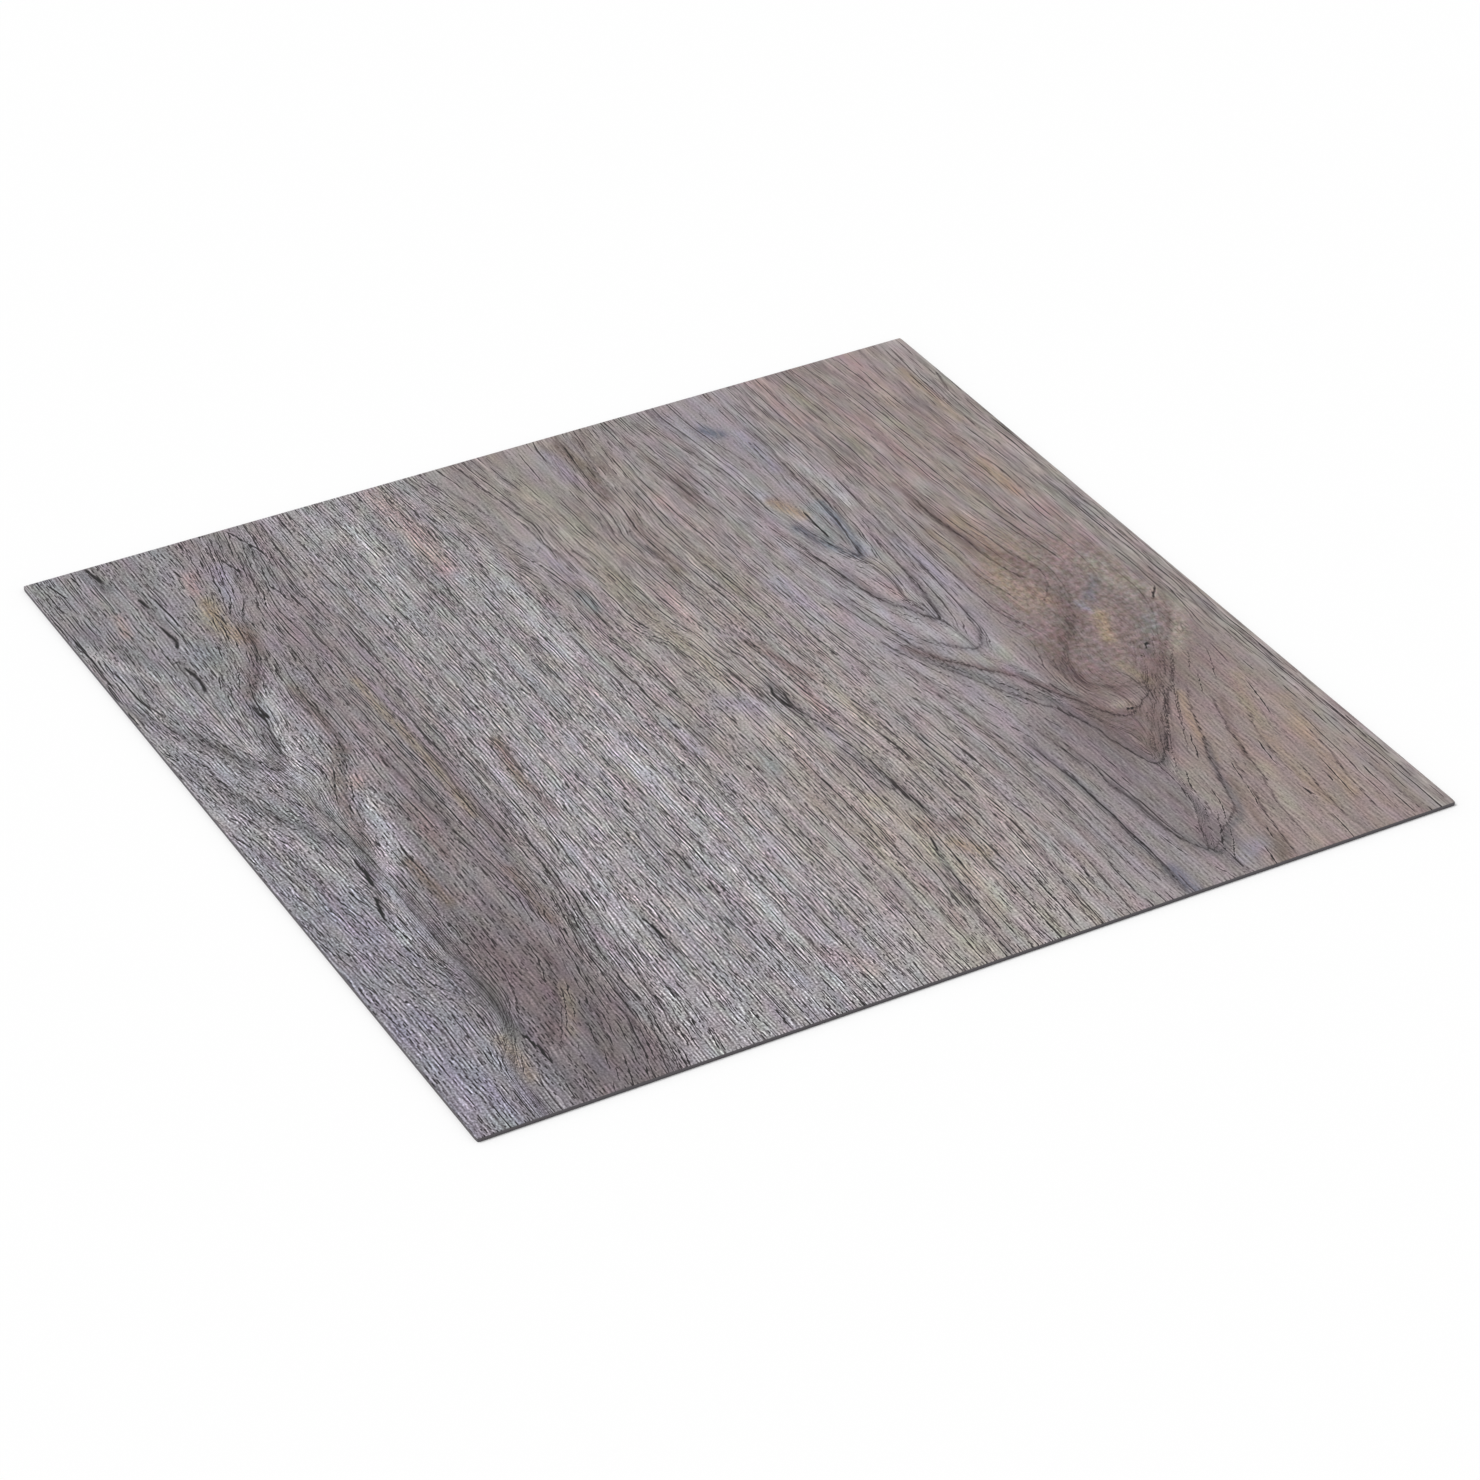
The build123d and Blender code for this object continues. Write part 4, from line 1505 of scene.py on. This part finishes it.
@dataclass
class VinylTile:
    """The one sheet of printed vinyl.

    Attributes:
        low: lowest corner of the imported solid, m.
        high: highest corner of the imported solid, m.
        roll: radius of the rolled rim of the wear face, m.
        corner: radius of the plan corners, m.
        cells: relief cells across and along the grain.
        figure: the wood figure that is printed on it.
        piece: the finished piece, once it is built.
    """

    ROLL_TURNS = (30.0, 60.0, 90.0)     # turns of the rolled rim's rows, degrees
    SMOOTH_ANGLE = 35.0                 # edges sharper than this stay sharp, degrees
    RING_PRESS = (0.045, 0.9, 1.0)      # press of a ring line and its reach, mm, and the most depth counted
    CHECK_PRESS = (0.06, 0.8, 1.2)      # the same for a check
    WAVE_SEED = 7
    WAVE_LENGTHS = (1.9, 2.3, 2.9, 3.7, 4.9, 6.5)   # widths of the pressed fibres, mm
    WAVE_PRESS = 0.006                  # press of each of those waves, mm
    WAVE_SHARE = 0.4                    # share of the waves that zones without pores keep
    WAVE_DRAW = 6.28                    # top of the random draws
    WAVE_TURN = 6.283                   # one turn of a wave, radians
    WAVE_BEND = 1.3                     # wander of the waves, radians
    BEND_LENGTH = (9.0, 6.0)            # least length of that wander and its spread, mm
    RIM_CLEAR = 0.2                     # width of the rim that stays free of relief, mm
    RIM_EASE = 1.0                      # width over which the relief comes in, mm
    TOUCH = 1e-7                        # heights closer than this are the same, m
    TINY = 1e-12                        # keeps a scale from dividing by nothing, m
    FACE_UP = 0.3                       # normals that rise more than this belong to the wear face
    FACE_DOWN = -0.5                    # normals that fall below this belong to the underside
    MAP_MARGIN = 0.004                  # rim of the bake map that stays free
    MAP_FACE = 0.93                     # share of the map's width that the wear face takes
    MAP_STRIP = 0.008                   # width of an edge's strip
    MAP_BACK = 0.024                    # height of the underside's strip
    MAP_GAP = 0.005                     # space between strips

    low: Vector
    high: Vector
    roll: float = 0.2 * MM
    corner: float = 0.6 * MM
    cells: tuple[int, int] = (464, 200)
    figure: WoodFigure = field(default_factory=WoodFigure)
    piece: bpy.types.Object | None = None

    def build(self) -> bpy.types.Object:
        """Model the sheet: wear face, rolled rim, cut edge and underside.

        Returns:
            The finished piece.
        """
        width, length = self.high.x - self.low.x, self.high.y - self.low.y
        bpy.ops.object.select_all(action="DESELECT")
        across, along = self.cells
        bpy.ops.mesh.primitive_grid_add(x_subdivisions=across, y_subdivisions=along, size=1.0)
        self.piece = bpy.context.object
        self.piece.name = "printed_vinyl_tile"
        self.piece.data.name = "printed_vinyl_tile"
        flat = (width - 2 * self.roll, length - 2 * self.roll)
        bpy.ops.object.mode_set(mode="EDIT")
        bpy.ops.mesh.select_all(action="SELECT")
        bpy.ops.transform.resize(value=(flat[0], flat[1], 1.0))
        bpy.ops.transform.translate(value=(0.0, 0.0, self.high.z))
        bpy.ops.mesh.select_mode(type="EDGE")
        bpy.ops.mesh.select_all(action="DESELECT")
        bpy.ops.mesh.select_non_manifold()
        size, level = flat, self.high.z
        for turn in self.ROLL_TURNS:
            angle = math.radians(turn)
            grow = 2 * self.roll * math.sin(angle)
            target = (flat[0] + grow, flat[1] + grow)
            next_level = self.high.z - self.roll * (1 - math.cos(angle))
            self._extrude_rim(size, target, next_level - level)
            size, level = target, next_level
        self._extrude_rim(size, size, self.low.z - level)
        bpy.ops.mesh.edge_face_add()
        bpy.ops.mesh.select_all(action="SELECT")
        bpy.ops.mesh.normals_make_consistent(inside=False)
        bpy.ops.object.mode_set(mode="OBJECT")
        self._shape()
        bpy.ops.object.shade_smooth_by_angle(angle=math.radians(self.SMOOTH_ANGLE))
        return self.piece

    @staticmethod
    def _extrude_rim(size: Span, target: Span, rise: float) -> None:
        """Extrude the open rim by one row.

        Args:
            size: present width and length of the rim, m.
            target: width and length after the row, m.
            rise: change of height, m.
        """
        bpy.ops.mesh.extrude_edges_move(TRANSFORM_OT_translate={"value": (0.0, 0.0, rise)})
        bpy.ops.transform.resize(value=(target[0] / size[0], target[1] / size[1], 1.0))

    def _shape(self) -> None:
        """Round the plan corners, press the relief and write the figure's attributes."""
        mesh = self.piece.data
        place = self._read(mesh.vertices, "co").astype(float)
        half = np.array([self.high.x, self.high.y])
        self._round_corners(place, half)
        points = place[:, :2] / MM
        rings, checks = LineField(points, self.figure.rings), LineField(points, self.figure.checks)
        colour, texture = self.figure.zone_mix(points)
        course = GrainFlow(self.figure.rings).at(points)

        depth = rings.pressed(*self.RING_PRESS) + checks.pressed(*self.CHECK_PRESS)
        depth += self._fibre_press(points, course[:, 0], texture[:, 0])
        top = place[:, 2] > self.high.z - self.TOUCH
        rim_gap = np.minimum(*(half - np.abs(place[:, :2])).T) / MM
        share = smooth_step((rim_gap - self.RIM_CLEAR) / self.RIM_EASE)
        place[:, 2] -= np.where(top, depth * MM * share, 0.0)
        mesh.vertices.foreach_set("co", place.astype(np.float32).ravel())

        shade = np.exp2(rings.shade)[:, None]
        opaque = np.ones((len(points), 1))
        grounds = {"ground": colour, "banded_ground": self.figure.banded(points, colour)}
        for name, ground in grounds.items():
            self._write(name, "FLOAT_COLOR", "color", np.hstack([shade * to_linear(ground), opaque]))
        fields = {
            "grain_flow": course,
            "grain_mix": texture,
            "ring_line": rings.packed(),
            "check_line": checks.packed(),
        }
        for name, values in fields.items():
            self._write(name, "FLOAT_VECTOR", "vector", values)
        mesh.update()

    def _round_corners(self, place: np.ndarray, half: np.ndarray) -> None:
        """Draw the points near the plan corners in to their arcs.

        Args:
            place: places of the vertices, m, which are changed.
            half: half width and half length of the tile, m.
        """
        inner = half - self.corner
        plan = place[:, :2]
        over = np.maximum(np.abs(plan) - inner, 0.0)
        both = (over > 0).all(axis=1)
        length = np.sqrt((over**2).sum(axis=1))
        allowed = self.corner - (half - np.abs(plan)).min(axis=1)
        scale = np.where(both & (length > allowed), allowed / np.maximum(length, self.TINY), 1.0)
        drawn_in = np.sign(plan) * (inner + over * scale[:, None])
        place[:, :2] = np.where(both[:, None], drawn_in, plan)

    def _fibre_press(self, points: np.ndarray, flow: np.ndarray, pores: np.ndarray) -> np.ndarray:
        """Depth that the fibres are pressed in.

        Args:
            points: plan points in mm.
            flow: fibre number of each point, mm.
            pores: strength of the pores at each point.

        Returns:
            The depth at each point, mm.
        """
        wave = np.zeros(len(points))
        rng = np.random.default_rng(self.WAVE_SEED)
        for wavelength in self.WAVE_LENGTHS:
            phase, drift, pace = rng.uniform(0, self.WAVE_DRAW, 3)
            bend = np.sin(points[:, 1] / (self.BEND_LENGTH[0] + self.BEND_LENGTH[1] * pace) + drift)
            wave += np.cos(self.WAVE_TURN * flow / wavelength + phase + self.WAVE_BEND * bend)
        share = self.WAVE_SHARE + (1.0 - self.WAVE_SHARE) * pores
        return self.WAVE_PRESS * (wave + len(self.WAVE_LENGTHS)) * share

    @staticmethod
    def _read(items: bpy.types.bpy_prop_collection, key: str) -> np.ndarray:
        """Read a triple of every vertex or face.

        Args:
            items: the mesh's vertices or faces.
            key: name of the triple.

        Returns:
            The triples, one row each.
        """
        values = np.empty(len(items) * 3, np.float32)
        items.foreach_get(key, values)
        return values.reshape(-1, 3)

    def _write(self, name: str, kind: str, key: str, values: np.ndarray) -> None:
        """Write one attribute of the piece's vertices."""
        attribute = self.piece.data.attributes.new(name, kind, "POINT")
        attribute.data.foreach_set(key, values.astype(np.float32).ravel())

    def dress(self) -> None:
        """Give the wear face, the cut edge and the underside their finishes."""
        mesh = self.piece.data
        mesh.materials.append(WearFaceFinish().build())
        for finish in (CUT_EDGE, UNDERSIDE):
            mesh.materials.append(finish.build(self.high.z - self.low.z))
        normals = self._read(mesh.polygons, "normal")
        slot = np.full(len(normals), Side.EDGE.value, np.int32)
        slot[normals[:, 2] > self.FACE_UP] = Side.WEAR_FACE.value
        slot[normals[:, 2] < self.FACE_DOWN] = Side.UNDERSIDE.value
        mesh.polygons.foreach_set("material_index", slot)
        self._unwrap(slot, normals)
        mesh.update()

    def _unwrap(self, slot: np.ndarray, normals: np.ndarray) -> None:
        """Lay the map for baking: nearly all of it for the wear face, strips for the rest.

        Args:
            slot: side of the tile that each face belongs to.
            normals: normal of each face.
        """
        mesh = self.piece.data
        corners = np.empty(len(mesh.polygons), np.int32)
        mesh.polygons.foreach_get("loop_total", corners)
        vertex = np.empty(len(mesh.loops), np.int32)
        mesh.loops.foreach_get("vertex_index", vertex)
        size = np.array(self.high) - np.array(self.low)
        share = ((self._read(mesh.vertices, "co") - np.array(self.low)) / size)[vertex]
        side, facing = np.repeat(slot, corners), np.repeat(normals, corners, axis=0)
        margin, face, strip, gap = self.MAP_MARGIN, self.MAP_FACE, self.MAP_STRIP, self.MAP_GAP
        along_x = np.abs(facing[:, 1]) > np.abs(facing[:, 0])
        forward = np.where(along_x, facing[:, 1], facing[:, 0]) > 0
        start = margin + face + gap + (2 * along_x + forward) * (strip + gap)
        flat = margin + face * share[:, :2]
        edge_run = margin + face * np.where(along_x, share[:, 0], share[:, 1])
        edge = np.stack([start + strip * share[:, 2], edge_run], axis=1)
        back = np.stack([flat[:, 0], margin + face + gap + self.MAP_BACK * share[:, 1]], axis=1)
        is_face, is_edge = (side == Side.WEAR_FACE.value)[:, None], (side == Side.EDGE.value)[:, None]
        layer = mesh.uv_layers.new(name="OFBake")
        spots = np.where(is_face, flat, np.where(is_edge, edge, back))
        layer.data.foreach_set("uv", spots.astype(np.float32).ravel())


@dataclass(frozen=True)
class Studio:
    """Plain pale floor and soft light.

    Attributes:
        floor_size: side of the floor, m.
        floor_drop: depth of the floor below the tile, m.
        floor_white: brightness of the floor's colour.
        ambient: strength of the light from all round.
        sun: strength of the key light.
        sun_width: angle that the key light seems wide, degrees.
        sun_from: direction that the key light comes from.
    """

    floor_size: float = 12.0
    floor_drop: float = 0.05 * MM
    floor_white: float = 0.97
    ambient: float = 0.6
    sun: float = 1.6
    sun_width: float = 25.0
    sun_from: tuple[float, float, float] = (-0.55, 0.35, 1.0)

    def build(self) -> None:
        """Make the floor, the sky and the key light."""
        self._floor()
        self._sky()
        self._key()

    def _floor(self) -> None:
        """Make the pale floor."""
        bpy.ops.object.select_all(action="DESELECT")
        bpy.ops.mesh.primitive_plane_add(size=self.floor_size, location=(0.0, 0.0, -self.floor_drop))
        floor = bpy.context.object
        floor.name = "studio_floor"
        material = bpy.data.materials.new("studio_floor")
        material.use_nodes = True
        shader = material.node_tree.nodes["Principled BSDF"]
        shader.inputs["Base Color"].default_value = (*(self.floor_white,) * 3, 1.0)
        shader.inputs["Roughness"].default_value = 1.0
        shader.inputs["Specular IOR Level"].default_value = 0.0
        floor.data.materials.append(material)

    def _sky(self) -> None:
        """Light the scene from all round, and show a white sky to the camera and in gloss."""
        world = bpy.data.worlds.new("studio")
        bpy.context.scene.world = world
        world.use_nodes = True
        n = NodeSketch(world.node_tree)
        rays = n.add("ShaderNodeLightPath").outputs
        seen = n.math("MAXIMUM", rays["Is Glossy Ray"], rays["Is Transmission Ray"])
        seen = n.math("MAXIMUM", rays["Is Camera Ray"], seen)
        background = world.node_tree.nodes["Background"]
        background.inputs["Color"].default_value = (1.0, 1.0, 1.0, 1.0)
        n.feed(background.inputs["Strength"], n.ease(seen, (0.0, 1.0), (self.ambient, 1.0), Easing.EVEN))

    def _key(self) -> None:
        """Make the soft key light."""
        bpy.ops.object.light_add(type="SUN", location=self.sun_from)
        lamp = bpy.context.object
        lamp.name = "studio_key"
        lamp.data.energy = self.sun
        lamp.data.angle = math.radians(self.sun_width)
        lamp.rotation_euler = Vector(self.sun_from).to_track_quat("Z", "Y").to_euler()


@dataclass(frozen=True)
class PhotoCamera:
    """The photograph's camera, solved from the tile's four edges.

    Attributes:
        azimuth: turn round the tile, degrees.
        elevation: height over the floor, degrees.
        roll: turn about the line of sight, degrees.
        distance: distance to the target, m.
        target: place that the camera looks at, m.
        focal_pixels: focal length in pixels of the photograph.
        frame_pixels: side of the photograph, pixels.
        sensor_mm: width of the sensor, mm.
        farthest: distance up to which things are drawn, m.
    """

    azimuth: float = -28.666
    elevation: float = 33.879
    roll: float = -0.61
    distance: float = 1.40753
    target: tuple[float, float, float] = (-0.005196, -0.024787, 0.0)
    focal_pixels: float = 4935.2
    frame_pixels: float = 1480.0
    sensor_mm: float = 36.0
    farthest: float = 50.0

    def build(self) -> bpy.types.Object:
        """Make the camera and hand it to the scene.

        Returns:
            The camera.
        """
        az, el, roll = (math.radians(a) for a in (self.azimuth, self.elevation, self.roll))
        back = Vector((math.sin(az) * math.cos(el), -math.cos(az) * math.cos(el), math.sin(el)))
        level = Vector((0.0, 0.0, 1.0)).cross(back).normalized()
        upright = back.cross(level)
        right = level * math.cos(roll) + upright * math.sin(roll)
        up = upright * math.cos(roll) - level * math.sin(roll)
        bpy.ops.object.camera_add()
        camera = bpy.context.object
        camera.name = "photo_camera"
        camera.data.sensor_width = self.sensor_mm
        camera.data.lens = self.sensor_mm * self.focal_pixels / self.frame_pixels
        camera.data.clip_end = self.farthest
        turn = Matrix((right, up, back)).transposed().to_4x4()
        camera.matrix_world = Matrix.Translation(Vector(self.target) + back * self.distance) @ turn
        bpy.context.scene.camera = camera
        return camera


def main() -> None:
    """Build the tile, the studio and the camera."""
    logging.basicConfig(level=logging.INFO, format="%(message)s")
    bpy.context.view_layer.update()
    low, high = (Vector(corner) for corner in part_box(NODE))
    tile = VinylTile(low, high)
    piece = tile.build()
    tile.dress()
    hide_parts(NODE)
    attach(piece, "root")
    LOG.info("%s: %d faces", piece.name, len(piece.data.polygons))
    Studio().build()
    PhotoCamera().build()
    bpy.context.scene.view_settings.view_transform = "Standard"


if __name__ == "__main__":
    main()
